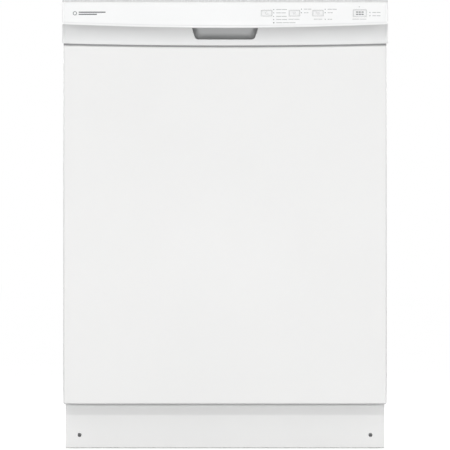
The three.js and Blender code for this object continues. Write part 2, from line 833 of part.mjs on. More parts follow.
// From the drain pump's spout to the rear, up behind the tub in a high loop, and down to its fitting.
function drainHose() {
  const { radius, steps, up, down, loopTop, fitting } = DRAIN;
  const pumpY = DRAIN_PUMP_Y + DRAIN_PUMP.spout.y;
  const bend = arc([(up + down) / 2, loopTop], (down - up) / 2, 180, 0, 6);
  const loop = bend.map(([x, z]) => [x, HOSE_BACK, z]);
  const line = hose(
    [
      [DRAIN_PUMP.spout.tip - GAP, pumpY, 66],
      [-80, pumpY, 66],
      [-130, pumpY + 25, 66],
      [-170, 190, 70],
      [-190, 262, 70],
      [-197, HOSE_BACK - 12, 80],
      [-202, HOSE_BACK + 1, 112],
      [-205, HOSE_BACK, 160],
      [up, HOSE_BACK, 260],
      [up, HOSE_BACK, 400],
      ...loop,
      [down, HOSE_BACK, 400],
      [down, HOSE_BACK, 260],
      [down, HOSE_BACK, 170],
      [down, HOSE_BACK, fitting.z[1] - 2],
    ],
    radius,
    steps,
  );
  const end = rod([down, HOSE_BACK, fitting.z[0]], [down, HOSE_BACK, fitting.z[1]], fitting.radius, 18);
  return line.add(end);
}

// The round flange and elbow on the tub's rear wall that the fill hose ends in.
function fillPort() {
  const { x, low, high, flange, thick, half, behind } = FILL_PORT;
  const y = TUB.back + GAP;
  const middle = (low + high) / 2;
  const disc = rod([x, y, middle], [x, y + thick, middle], flange, 18);
  return disc.add(block([x - half, y + thick - PAST, low], [x + half, HOSE_BACK + behind, high]));
}

// From the inlet valve under the tub to the rear, and up to the port on the rear wall.
function fillHose() {
  const line = hose(
    [
      [INLET.outlet.x, INLET.y[1] + GAP, 70],
      [INLET.outlet.x, -120, 70],
      [-235, -40, 66],
      [-240, 60, 64],
      [-245, 160, 66],
      [-250, 258, 72],
      [FILL_PORT.x, HOSE_BACK - 8, 84],
      [FILL_PORT.x, HOSE_BACK, 116],
      [FILL_PORT.x, HOSE_BACK, 180],
      [FILL_PORT.x, HOSE_BACK, 250],
      [FILL_PORT.x, HOSE_BACK, FILL_PORT.low + 2],
    ],
    FILL.radius,
    FILL.steps,
  );
  return line.add(fillPort());
}

// A valve body under its solenoid coil, with an outlet elbow behind and a tab to the front crossmember.
function inletValve() {
  const { front, rear, height, coil, outlet, tab } = INLET;
  const [x0, x1] = INLET.x;
  const [y0, y1] = INLET.y;
  const [z0, z1] = INLET.z;
  const [x, y] = [(x0 + x1) / 2, (y0 + y1) / 2];
  const body = block([x0, y0 + front, z0], [x1, y1 - rear, z0 + height]);
  const drum = rod([x, y, z0 + height - PAST], [x, y, z1 - coil.below], coil.radius, 18);
  const elbow = block(
    [outlet.x - outlet.half, y1 - outlet.start, z0 + outlet.z[0]],
    [outlet.x + outlet.half, y1, z1 - outlet.z[1]],
  );
  const fixing = block(
    [x0 + tab.x, CHANNEL_BACK, z0 + tab.z[0]],
    [x1 - tab.x, y0 + front + PAST, z0 + tab.z[1]],
  );
  return join([body, drum, elbow, fixing]);
}

function junctionBox() {
  const { x, y, z, tab } = JUNCTION;
  const box = block([x[0], y[0], z[0]], [x[1], y[1], z[1]]);
  return box.add(block([tab.x[0], CHANNEL_BACK, tab.z[0]], [tab.x[1], y[0] + PAST, tab.z[1]]));
}

function addWorks() {
  addPiece("sump", sump(), "darkPlastic");
  addPiece("filter_plate", filterPlate(), "motorSteel");
  addPiece("filter_cup", filterCup(), "greyPlastic");
  addPiece("heating_element", heatingElement(), "heater");
  addPiece("overfill_float", float(), "greyPlastic");
  addPiece("feed_tube", feedTube(), "greyPlastic");
  addPiece("circulation_pump", circulationPump(), "motorSteel");
  addPiece("drain_pump", drainPump(), "darkPlastic");
  addPiece("drain_hose", drainHose(), "hose");
  addPiece("fill_hose", fillHose(), "rubber");
  addPiece("inlet_valve", inletValve(), "darkPlastic");
  addPiece("junction_box", junctionBox(), "zinc");
}

// ---- Base ----

const CROSS = { low: 12, high: 60, room: 2, rearHeight: 26, screwHole: 5 };
const SPRING = { x: 288, z: 62, start: 70, length: 170, radius: 7, wire: 1.5, hook: 24 };
const ANCHOR = { from: 284, along: [18, 26], half: 5 }; // the bar that ties a spring to its rail

function sideRail(side) {
  const { outer, inner, bottom, top, front, back, foot, seat, ear } = RAIL;
  const web = block([side * inner, front, bottom], [side * outer, back, top]);
  const lower = block([side * (outer - foot), front, bottom], [side * outer, back, bottom + SHEET]);
  const upper = block([side * (outer - seat), front, top - SHEET], [side * outer, back, top]);
  const lug = block(
    [side * ear.x, HINGE.y - ear.y, HINGE.z - ear.z],
    [side * outer, front + PAST, FLANGE.bottom - PAST],
  );
  const [pinIn, pinOut] = HINGE.pinX;
  const pin = rod([side * pinIn, HINGE.y, HINGE.z], [side * pinOut, HINGE.y, HINGE.z], HINGE.pin);
  const x = side * LEG.x;
  const holes = LEG.ys.map((y) =>
    rod([x, y, bottom - PAST], [x, y, bottom + 2 * SHEET], LEG.stud + LEG.room),
  );
  return cut(join([web, lower, upper, lug, pin]), holes);
}

function levellingLeg(side, y) {
  const { pad: radius, padHeight, stud, studTop, nut } = LEG;
  const x = side * LEG.x;
  const pad = rod([x, y, 0], [x, y, padHeight], radius, 20);
  const screw = rod([x, y, padHeight - PAST], [x, y, studTop], stud);
  const hexagon = rod([x, y, padHeight], [x, y, padHeight + nut.height], nut.radius, 6);
  return join([pad, screw, hexagon]);
}

// A channel between the side rails, open to the rear.
function crossmember(front, back, low, high) {
  const half = RAIL.inner - GAP;
  const whole = block([-half, front, low], [half, back, high]);
  const open = block([-half - PAST, front + SHEET, low + SHEET], [half + PAST, back + PAST, high - SHEET]);
  return whole.subtract(open);
}

function screwHoles(front, depth) {
  const { x, z, shank, room } = SCREW;
  const radius = shank + room;
  return SIDES.map(([, side]) => rod([side * x, front, z], [side * x, front + depth, z], radius, 12));
}

function kickPlate() {
  const { half, front, bottom, fold, top, lean, notch } = KICK;
  const outline = [
    [front, bottom],
    [front + SHEET, bottom],
    [front + SHEET, fold],
    [front + SHEET + lean, top],
    [front + lean, top],
    [front, fold + 0.5],
  ];
  const plate = solidOf(sideProfile(outline, -half, half));
  const notches = SIDES.map(([, side]) =>
    block(
      [side * notch.x, front - PAST, notch.z],
      [side * (half + PAST), front + notch.depth, top + PAST],
    ),
  );
  return cut(plate, [...screwHoles(front - PAST, SHEET + 2 * PAST), ...notches]);
}

function kickScrew(side) {
  const { z, head, headDepth, shank, reach } = SCREW;
  const face = KICK.front - GAP;
  const x = side * SCREW.x;
  const cap = rod([x, face - headDepth, z], [x, face, z], head, 16);
  return cap.add(rod([x, face - PAST, z], [x, KICK.front + reach, z], shank, 12));
}

function doorSpring(side) {
  const { z, start, length, radius, wire, hook } = SPRING;
  const { from, along, half } = ANCHOR;
  const x = side * SPRING.x;
  const y0 = RAIL.front + start;
  const y1 = y0 + length;
  const coil = rod([x, y0, z], [x, y1, z], radius, 14);
  const hooks = [
    rod([x, y0 - hook, z], [x, y0 + PAST, z], wire, 8),
    rod([x, y1 - PAST, z], [x, y1 + hook, z], wire, 8),
  ];
  const anchor = block(
    [side * (RAIL.inner - GAP), y1 + along[0], z - half],
    [side * from, y1 + along[1], z + half],
  );
  return join([coil, ...hooks, anchor]);
}

const ENDS = ["front", "rear"];

function addBase() {
  for (const [name, side] of SIDES) {
    addPiece(`side_rail_${name}`, sideRail(side), "zinc");
    addPiece(`door_spring_${name}`, doorSpring(side), "zinc");
    addPiece(`kick_screw_${name}`, kickScrew(side), "zinc");
    LEG.ys.forEach((y, i) => {
      addPiece(`levelling_leg_${ENDS[i]}_${name}`, levellingLeg(side, y), "darkPlastic");
    });
  }
  const [y0, y1] = [KICK.front + SHEET + GAP, RAIL.front - GAP - CROSS.room];
  const frontBar = crossmember(y0, y1, CROSS.low, CROSS.high);
  const holes = screwHoles(KICK.front, CROSS.screwHole);
  addPiece("front_crossmember", cut(frontBar, holes), "zinc");
  const rearBar = crossmember(RAIL.back + GAP, REAR, RAIL.bottom, RAIL.bottom + CROSS.rearHeight);
  addPiece("rear_crossmember", rearBar, "zinc");
  addPiece("kick_plate", kickPlate(), "whitePaint");
}

// ---- Racks ----

// Wires that cross the floor and bend up to the rim. The rim and the floor hoop are thicker, and the two
// layers of floor wires sit at different heights, welded where they cross.
function wireBasket({ half, front, back, low, high, bars }) {
  const wire = (a, b, thick = WIRE) =>
    block(
      a.map((value, i) => Math.min(value, b[i]) - thick / 2),
      a.map((value, i) => Math.max(value, b[i]) + thick / 2),
    );
  const [x0, x1] = [-half + HOOP / 2, half - HOOP / 2];
  const [y0, y1] = [front + HOOP / 2, back - HOOP / 2];
  const [z0, z1] = [low + HOOP / 2, high - HOOP / 2];
  const layer = z0 + WIRE * 0.4;
  const wires = [z0, z1].flatMap((z) => [
    wire([x0, y0, z], [x1, y0, z], HOOP),
    wire([x0, y1, z], [x1, y1, z], HOOP),
    wire([x0, y0, z], [x0, y1, z], HOOP),
    wire([x1, y0, z], [x1, y1, z], HOOP),
  ]);
  for (const y of spread(y0, y1, bars + 1).slice(1, -1)) {
    wires.push(wire([x0, y, z0], [x1, y, z0]));
    wires.push(wire([x0, y, z0], [x0, y, z1]));
    wires.push(wire([x1, y, z0], [x1, y, z1]));
  }
  for (const x of spread(x0, x1, bars + 1).slice(1, -1)) {
    wires.push(wire([x, y0, layer], [x, y1, layer]));
    wires.push(wire([x, y0, layer], [x, y0, z1]));
    wires.push(wire([x, y1, layer], [x, y1, z1]));
  }
  for (const x of [x0, x1]) {
    for (const y of [y0, y1]) wires.push(wire([x, y, z0], [x, y, z1]));
  }
  return join(wires);
}

const WHEEL_X = LOWER_RACK.half + WHEEL.gap;
const WHEEL_Z = TUB.ledge + 0.8 + WHEEL.radius;

function lowerRack() {
  const { inset, thick, half, drop, rise } = AXLE_PAD;
  const inner = LOWER_RACK.half - inset;
  const tip = WHEEL_X + WHEEL.width + WHEEL.stub;
  const axles = SIDES.flatMap(([, side]) =>
    WHEEL.ys.map((y) => {
      const pad = block(
        [side * inner, y - half, WHEEL_Z - drop],
        [side * (inner + thick), y + half, LOWER_RACK.low + rise],
      );
      return pad.add(rod([side * (inner + PAST), y, WHEEL_Z], [side * tip, y, WHEEL_Z], WHEEL.axle, 12));
    }),
  );
  return join([wireBasket(LOWER_RACK), ...axles]);
}

function rackWheel(side, y) {
  const { radius, bore, width } = WHEEL;
  const section = [
    [bore, 0],
    [radius, 0],
    [radius, width],
    [bore, width],
    [bore, 0],
  ];
  const ring = new THREE.LatheGeometry(section.map((point) => new THREE.Vector2(...point)), 20);
  const start = side > 0 ? WHEEL_X : -WHEEL_X - width;
  return solidOf(ring.rotateZ(-Math.PI / 2).translate(start, y, WHEEL_Z));
}

// A cutlery basket of open cells in a row, with a carrying handle over the middle.
function silverwareBasket() {
  const { x, y, low, high, wall, cells, post, grip } = BASKET;
  const whole = block([x[0], y[0], low], [x[1], y[1], high]);
  const pitch = (y[1] - y[0] - wall) / cells;
  const hollows = Array.from({ length: cells }, (_, i) => {
    const start = y[0] + wall + i * pitch;
    return block([x[0] + wall, start, low + wall], [x[1] - wall, start + pitch - wall, high + PAST]);
  });
  const middle = (x[0] + x[1]) / 2;
  const [from, to] = [y[0] + pitch, y[0] + 2 * pitch];
  const posts = [from, to].map((at) =>
    block([middle - post.half, at, high - post.drop], [middle + post.half, at + wall, high + post.rise]),
  );
  const handle = block(
    [middle - grip.half, from, high + grip.low],
    [middle + grip.half, to + wall, high + grip.high],
  );
  return join([cut(whole, hollows), ...posts, handle]);
}

// A flat blade, widest at the middle and tapered to both tips.
function sprayArm(reach, low, high, centreY) {
  const { tip, shoulder, waist, taper, waistX } = BLADE;
  const quarter = [
    [reach, tip],
    [reach - taper, shoulder],
    [waistX, waist],
  ];
  const mirrored = (sx, sy) => quarter.map(([x, y]) => [sx * x, sy * y]);
  const outline = [
    ...mirrored(1, 1),
    ...mirrored(-1, 1).reverse(),
    ...mirrored(-1, -1),
    ...mirrored(1, -1).reverse(),
  ];
  const shape = new THREE.Shape(outline.map(([x, y]) => new THREE.Vector2(x, y)));
  const blade = new THREE.ExtrudeGeometry(shape, { depth: high - low, bevelEnabled: false });
  return solidOf(blade.translate(0, centreY, low));
}

function lowerSprayArm() {
  const { reach, low, high } = LOWER_ARM;
  const upright = (from, to, radius) => rod([0, TUB_MIDDLE, from], [0, TUB_MIDDLE, to], radius, 20);
  const blade = sprayArm(reach, low, high, TUB_MIDDLE);
  const hub = upright(high - PAST, high + HUB.rise, HUB.radius);
  const bearing = upright(low - HUB.bearingDrop, low + PAST, HUB.bearing);
  const socket = upright(low - HUB.bearingDrop - PAST, low + 2 * PAST, HUB.socket);
  return cut(join([blade, hub, bearing]), [socket]);
}

function upperSprayArm() {
  const { reach, low, high } = UPPER_ARM;
  const blade = sprayArm(reach, low, high, TUB_MIDDLE);
  return blade.add(rod([0, TUB_MIDDLE, low - HUB.drop], [0, TUB_MIDDLE, low + PAST], HUB.radius, 20));
}

const MANIFOLD = { half: 9, drop: 5.5, front: 12 };
const SOCKET = { half: 11, drop: 5.7, length: 12 };

// The tube under the upper rack that carries water from the rear wall to its spray arm.
function upperManifold() {
  const z = UPPER_ARM.high + DOCK.rise;
  const back = TUB.back - TUB.wall - FEED.stand - DOCK.reach - PAST;
  const top = UPPER_RACK.low + PAST;
  const tube = block(
    [-MANIFOLD.half, TUB_MIDDLE - MANIFOLD.front, z - MANIFOLD.drop],
    [MANIFOLD.half, back, top],
  );
  const start = back + PAST - SOCKET.length;
  const socket = block([-SOCKET.half, start, z - SOCKET.drop], [SOCKET.half, back, top]);
  return join([tube, socket]);
}

const SLIDE = { low: 524, high: 538, y: [-206, 244], lap: 3, clear: 5 };
const UPPER_RAIL = { y: [-228, 250], depth: 10, lip: 7, room: 2, web: 3 };

// A channel on the tub's side wall that the upper rack's slide runs in.
function upperRail(side) {
  const { y, depth, lip, room, web } = UPPER_RAIL;
  const outer = TUB.half - TUB.wall - GAP;
  const body = block(
    [side * (outer - depth), y[0], SLIDE.low - lip],
    [side * outer, y[1], SLIDE.high + lip],
  );
  const groove = block(
    [side * (outer - depth - PAST), y[0] - PAST, SLIDE.low - room],
    [side * (outer - web), y[1] + PAST, SLIDE.high + room],
  );
  return body.subtract(groove);
}

function rackSlide(side) {
  const near = UPPER_RACK.half - SLIDE.lap;
  const far = TUB.half - TUB.wall - SLIDE.clear;
  return block([side * near, SLIDE.y[0], SLIDE.low], [side * far, SLIDE.y[1], SLIDE.high]);
}

function addRacks() {
  addPiece("lower_rack", lowerRack(), "rackCoat");
  addPiece("silverware_basket", silverwareBasket(), "greyPlastic");
  addPiece("lower_spray_arm", lowerSprayArm(), "greyPlastic");
  const slides = SIDES.map(([, side]) => rackSlide(side));
  addPiece("upper_rack", join([wireBasket(UPPER_RACK), ...slides, upperManifold()]), "rackCoat");
  addPiece("upper_spray_arm", upperSprayArm(), "greyPlastic");
  for (const [name, side] of SIDES) {
    addPiece(`upper_rail_${name}`, upperRail(side), "zinc");
    WHEEL.ys.forEach((y, i) => {
      addPiece(`wheel_${ENDS[i]}_${name}`, rackWheel(side, y), "greyPlastic");
    });
  }
}

addConsole();
addDoor();
addTub();
addWorks();
addBase();
addRacks();

export default dishwasher;
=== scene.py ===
# Built-in dishwasher: finishes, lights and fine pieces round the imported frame, in metres.
# The door faces -Y, +Z is up, and the floor is z = 0.

import math
from typing import NamedTuple
import bmesh
import bpy
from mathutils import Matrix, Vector, noise


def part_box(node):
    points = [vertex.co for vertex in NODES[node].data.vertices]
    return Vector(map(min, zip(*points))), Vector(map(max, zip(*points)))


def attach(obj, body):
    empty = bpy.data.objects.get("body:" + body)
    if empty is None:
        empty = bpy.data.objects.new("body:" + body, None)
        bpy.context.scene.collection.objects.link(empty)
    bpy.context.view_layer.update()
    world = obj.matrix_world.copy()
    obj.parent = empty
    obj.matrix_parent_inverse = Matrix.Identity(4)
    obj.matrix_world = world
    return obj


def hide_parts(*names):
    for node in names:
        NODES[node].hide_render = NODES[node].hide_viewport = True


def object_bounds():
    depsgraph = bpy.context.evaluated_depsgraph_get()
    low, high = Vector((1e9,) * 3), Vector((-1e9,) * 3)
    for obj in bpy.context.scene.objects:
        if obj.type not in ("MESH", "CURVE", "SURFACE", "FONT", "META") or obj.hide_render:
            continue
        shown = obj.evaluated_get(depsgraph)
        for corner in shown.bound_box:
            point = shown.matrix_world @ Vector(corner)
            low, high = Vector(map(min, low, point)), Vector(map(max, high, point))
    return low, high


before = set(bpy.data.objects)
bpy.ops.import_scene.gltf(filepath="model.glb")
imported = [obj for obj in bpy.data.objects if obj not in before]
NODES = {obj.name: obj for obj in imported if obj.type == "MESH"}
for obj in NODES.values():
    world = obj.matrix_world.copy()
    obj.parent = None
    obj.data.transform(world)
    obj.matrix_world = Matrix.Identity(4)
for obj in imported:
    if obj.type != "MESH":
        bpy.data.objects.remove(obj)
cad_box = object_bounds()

FRONT = cad_box[0].y
TOP = cad_box[1].z
HALF = cad_box[1].x
SIDES = (("left", -1), ("right", 1))
FULL_TURN = 2 * math.pi
LOW, HIGH = 0, 1
ALONG_X, ALONG_Y, ALONG_Z = (1, 0, 0), (0, 1, 0), (0, 0, 1)
SMOOTH_ANGLE = 38  # edges that turn by less than this many degrees are shaded smooth
CAD_SMOOTH_ANGLE = 30
BEVEL_ANGLE = 35
WELD = 2e-6  # points nearer than this are one point
SLIVER = 1e-7


# ---- Geometry ----

def lerp(a, b, t):
    return a + (b - a) * t


def clamp(value, low=0.0, high=1.0):
    return max(low, min(high, value))


def smooth_step(edge_a, edge_b, value):
    t = clamp((value - edge_a) / (edge_b - edge_a))
    return t * t * (3 - 2 * t)


def spread(start, end, count):
    """Evenly spaced values from start to end, both kept."""
    return [lerp(start, end, i / (count - 1)) for i in range(count)]


def arc(centre, radius, start, end, count):
    """Points of an arc as pairs, from one angle to another in degrees."""
    angles = [math.radians(a) for a in spread(start, end, count)]
    return [(centre[0] + radius * math.cos(a), centre[1] + radius * math.sin(a)) for a in angles]


def turns(count):
    """The angles of this many even steps round a full turn."""
    return spread(0, FULL_TURN, count + 1)[:-1]


def circle(radius, count):
    """Pairs round a circle about the origin."""
    return [(radius * math.cos(a), radius * math.sin(a)) for a in turns(count)]


def middle_of(lo, hi):
    return (lo + hi) / 2


def rounded_outline(x0, x1, z0, z1, radius, steps=5):
    """Pairs round a rectangle with round corners, anticlockwise."""
    near_x, far_x = x0 + radius, x1 - radius
    near_z, far_z = z0 + radius, z1 - radius
    corners = (((far_x, far_z), 0), ((near_x, far_z), 90), ((near_x, near_z), 180), ((far_x, near_z), 270))
    return [p for centre, start in corners for p in arc(centre, radius, start, start + 90, steps)]


def catmull(points, steps):
    """A smooth line through the points, with this many steps between each two."""
    controls = [Vector(p) for p in points]
    line = [controls[0] * 2 - controls[1], *controls, controls[-1] * 2 - controls[-2]]
    path = []
    for before, start, end, after in zip(line, line[1:], line[2:], line[3:]):
        pairs = ((before, start), (start, end), (end, after))
        gap_a, gap_b, gap_c = ((q - p).length ** 0.5 for p, q in pairs)
        leave = (start - before) / gap_a - (end - before) / (gap_a + gap_b) + (end - start) / gap_b
        arrive = (end - start) / gap_b - (after - start) / (gap_b + gap_c) + (after - end) / gap_c
        leave, arrive = leave * gap_b, arrive * gap_b
        for t in spread(0, 1, steps + 1)[:-1]:
            path.append(start + leave * t + (3 * (end - start) - 2 * leave - arrive) * t ** 2
                        + (2 * (start - end) + leave + arrive) * t ** 3)
    return path + [controls[-1]]


class Form:
    """Collects the faces of one piece."""

    def __init__(self):
        self.points = []
        self.faces = []

    def grid(self, rows, around=False, closed=False, caps=False):
        """A skin over rows of points. around joins a row's ends, closed joins the last row to the first."""
        start = len(self.points)
        width = len(rows[0])
        for row in rows:
            self.points.extend(Vector(p) for p in row)
        for i in range(len(rows) if closed else len(rows) - 1):
            below = start + i * width
            above = start + (i + 1) % len(rows) * width
            for j in range(width if around else width - 1):
                k = (j + 1) % width
                self.faces.append((below + j, below + k, above + k, above + j))
        if caps:
            last = start + (len(rows) - 1) * width
            self.faces.append(tuple(reversed(range(start, start + width))))
            self.faces.append(tuple(range(last, last + width)))
        return self

    def tube(self, path, radius, sides=10, closed=False):
        """A round bar along a path. radius is one number, or one for each point."""
        path = [Vector(p) for p in path]
        count = len(path)
        radii = radius if hasattr(radius, "__len__") else [radius] * count
        rows = []
        across = None
        for i, point in enumerate(path):
            ahead = path[(i + 1) % count] if closed or i < count - 1 else point
            behind = path[i - 1] if closed or i > 0 else point
            along = (ahead - behind).normalized()
            if across is None:
                across = along.orthogonal().normalized()
            across = (across - along * across.dot(along)).normalized()
            up = along.cross(across)
            rows.append([point + (across * math.cos(a) + up * math.sin(a)) * radii[i] for a in turns(sides)])
        if closed:
            # The frame may come round turned by a few sides, so the last ring picks its nearest start.
            first, last = rows[0], rows[-1]
            turn = min(range(sides), key=lambda k: (first[k] - last[0]).length)
            start = len(self.points)
            self.grid(rows, around=True)
            tail = start + (count - 1) * sides
            for j in range(sides):
                k = (j + 1) % sides
                across_j, across_k = start + (j + turn) % sides, start + (k + turn) % sides
                self.faces.append((tail + j, tail + k, across_k, across_j))
            return self
        return self.grid(rows, around=True, caps=True)

    def rod(self, a, b, radius, sides=12):
        return self.tube([a, b], radius, sides)

    def block(self, a, b, round_edge=0.0):
        """A box between opposite corners, with softly rounded upright faces where round_edge is given."""
        lo = Vector(map(min, a, b))
        hi = Vector(map(max, a, b))
        if round_edge:
            return self.plate(rounded_outline(lo.x, hi.x, lo.z, hi.z, round_edge, 4), lo.y, hi.y)
        rows = [[(lo.x, lo.y, z), (hi.x, lo.y, z), (hi.x, hi.y, z), (lo.x, hi.y, z)] for z in (lo.z, hi.z)]
        return self.grid(rows, around=True, caps=True)

    def plate(self, outline, y0, y1):
        """An outline of (x, z) pairs carried from y0 to y1."""
        return self.grid([[(x, y, z) for x, z in outline] for y in (y1, y0)], around=True, caps=True)

    def slab(self, outline, z0, z1):
        """An outline of (x, y) pairs carried from z0 to z1."""
        return self.grid([[(x, y, z) for x, y in outline] for z in (z0, z1)], around=True, caps=True)

    def side_bar(self, outline, x0, x1):
        """An outline of (y, z) pairs carried from x0 to x1."""
        return self.grid([[(x, y, z) for y, z in outline] for x in (x0, x1)], around=True, caps=True)

    def lathe(self, outline, centre, axis=ALONG_Z, sides=32, closed=False):
        """(radius, height) pairs turned about an axis through the centre."""
        along = Vector(axis).normalized()
        across = along.orthogonal().normalized()
        up = along.cross(across)
        rows = [[Vector(centre) + along * height + (across * math.cos(a) + up * math.sin(a)) * radius
                 for a in turns(sides)] for radius, height in outline]
        return self.grid(rows, around=True, closed=closed)

    def shell(self, outer, inner):
        """Two skins over matching rows of points, joined all round."""
        self.grid(outer)
        self.grid([list(reversed(row)) for row in inner])
        self.grid([outer[0], inner[0]])
        self.grid([inner[-1], outer[-1]])
        for end in (0, -1):
            self.grid([[row[end] for row in outer], [row[end] for row in inner]])
        return self

    def ribs(self, centre, plane, count, reach, half_wide, depth):
        """Bars round an axis. plane is the two directions they are spread in, reach is (near, far) out from
        the centre, and depth is (low, high) along the axis."""
        first, second = (Vector(v) for v in plane)
        axis = first.cross(second)
        near, far = reach
        for a in turns(count):
            out = first * math.cos(a) + second * math.sin(a)
            beside = (second * math.cos(a) - first * math.sin(a)) * half_wide
            self.grid([[Vector(centre) + axis * height + out * r + beside * s
                        for r, s in ((far, 1), (far, -1), (near, -1), (near, 1))] for height in depth],
                      around=True, caps=True)
        return self

    def band(self, outline, inset, y0, y1):
        """A flat frame that follows an outline of (x, z) pairs, as wide as inset."""
        middle_x = sum(p[0] for p in outline) / len(outline)
        middle_z = sum(p[1] for p in outline) / len(outline)
        wide = max(p[0] for p in outline) - middle_x
        tall = max(p[1] for p in outline) - middle_z
        inner = [(middle_x + (x - middle_x) * (wide - inset) / wide,
                  middle_z + (z - middle_z) * (tall - inset) / tall) for x, z in outline]
        rows = [[(x, y, z) for x, z in ring] for ring, y in
                ((outline, y1), (outline, y0), (inner, y0), (inner, y1))]
        return self.grid(rows, around=True, closed=True)


def shade_edges(mesh, smooth_angle=SMOOTH_ANGLE):
    mesh.shade_smooth()
    mesh.set_sharp_from_angle(angle=math.radians(smooth_angle))


def stand(mesh, name, smooth_angle=SMOOTH_ANGLE):
    """A new object with this mesh, in the scene."""
    shade_edges(mesh, smooth_angle)
    made = bpy.data.objects.new(name, mesh)
    bpy.context.scene.collection.objects.link(made)
    return made


def mesh_object(form, name, smooth_angle=SMOOTH_ANGLE):
    mesh = bpy.data.meshes.new(name)
    mesh.from_pydata([tuple(p) for p in form.points], [], form.faces)
    work = bmesh.new()
    work.from_mesh(mesh)
    bmesh.ops.remove_doubles(work, verts=work.verts, dist=WELD)
    bmesh.ops.dissolve_degenerate(work, edges=work.edges, dist=SLIVER)
    bmesh.ops.recalc_face_normals(work, faces=work.faces)
    work.to_mesh(mesh)
    work.free()
    return stand(mesh, name, smooth_angle)


def apply_modifiers(made, smooth_angle=SMOOTH_ANGLE):
    """Puts the modifiers' result into the mesh."""
    graph = bpy.context.evaluated_depsgraph_get()
    mesh = bpy.data.meshes.new_from_object(made.evaluated_get(graph))
    made.modifiers.clear()
    made.data = mesh
    shade_edges(mesh, smooth_angle)


def carve(made, cutters, operation="DIFFERENCE"):
    """Cuts forms out of an object, or joins them to it."""
    for cutter in cutters:
        tool = mesh_object(cutter, "cutter")
        change = made.modifiers.new("carve", "BOOLEAN")
        change.operation = operation
        change.solver = "EXACT"
        change.object = tool
        apply_modifiers(made)
        bpy.data.objects.remove(tool)
    return made


def soften(made, width, segments=2):
    """Rounds the hard edges of a piece."""
    edge = made.modifiers.new("rounded_edges", "BEVEL")
    edge.width = width
    edge.segments = segments
    edge.limit_method = "ANGLE"
    edge.angle_limit = math.radians(BEVEL_ANGLE)
    edge.harden_normals = False


def walled(made, thickness, offset, name="sheet"):
    """Gives a skin its wall: offset 1 puts it outside the skin, -1 inside, 0 on both sides."""
    wall = made.modifiers.new(name, "SOLIDIFY")
    wall.thickness = thickness
    wall.offset = offset


def coat(made, material):
    made.data.materials.clear()
    made.data.materials.append(material)


def finish_piece(made, body, material, replaces=()):
    coat(made, material)
    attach(made, body)
    if replaces:
        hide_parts(*replaces)
    return made


def piece(form, name, body, material, replaces=(), edge=0.0, smooth_angle=SMOOTH_ANGLE):
    made = mesh_object(form, name, smooth_angle)
    if edge:
        soften(made, edge)
    return finish_piece(made, body, material, replaces)


def dress(node, material, edge):
    """Gives a CAD node its material, and rounds its edges a little."""
    made = NODES[node]
    coat(made, material)
    soften(made, edge)
    shade_edges(made.data, CAD_SMOOTH_ANGLE)


# ---- Materials ----

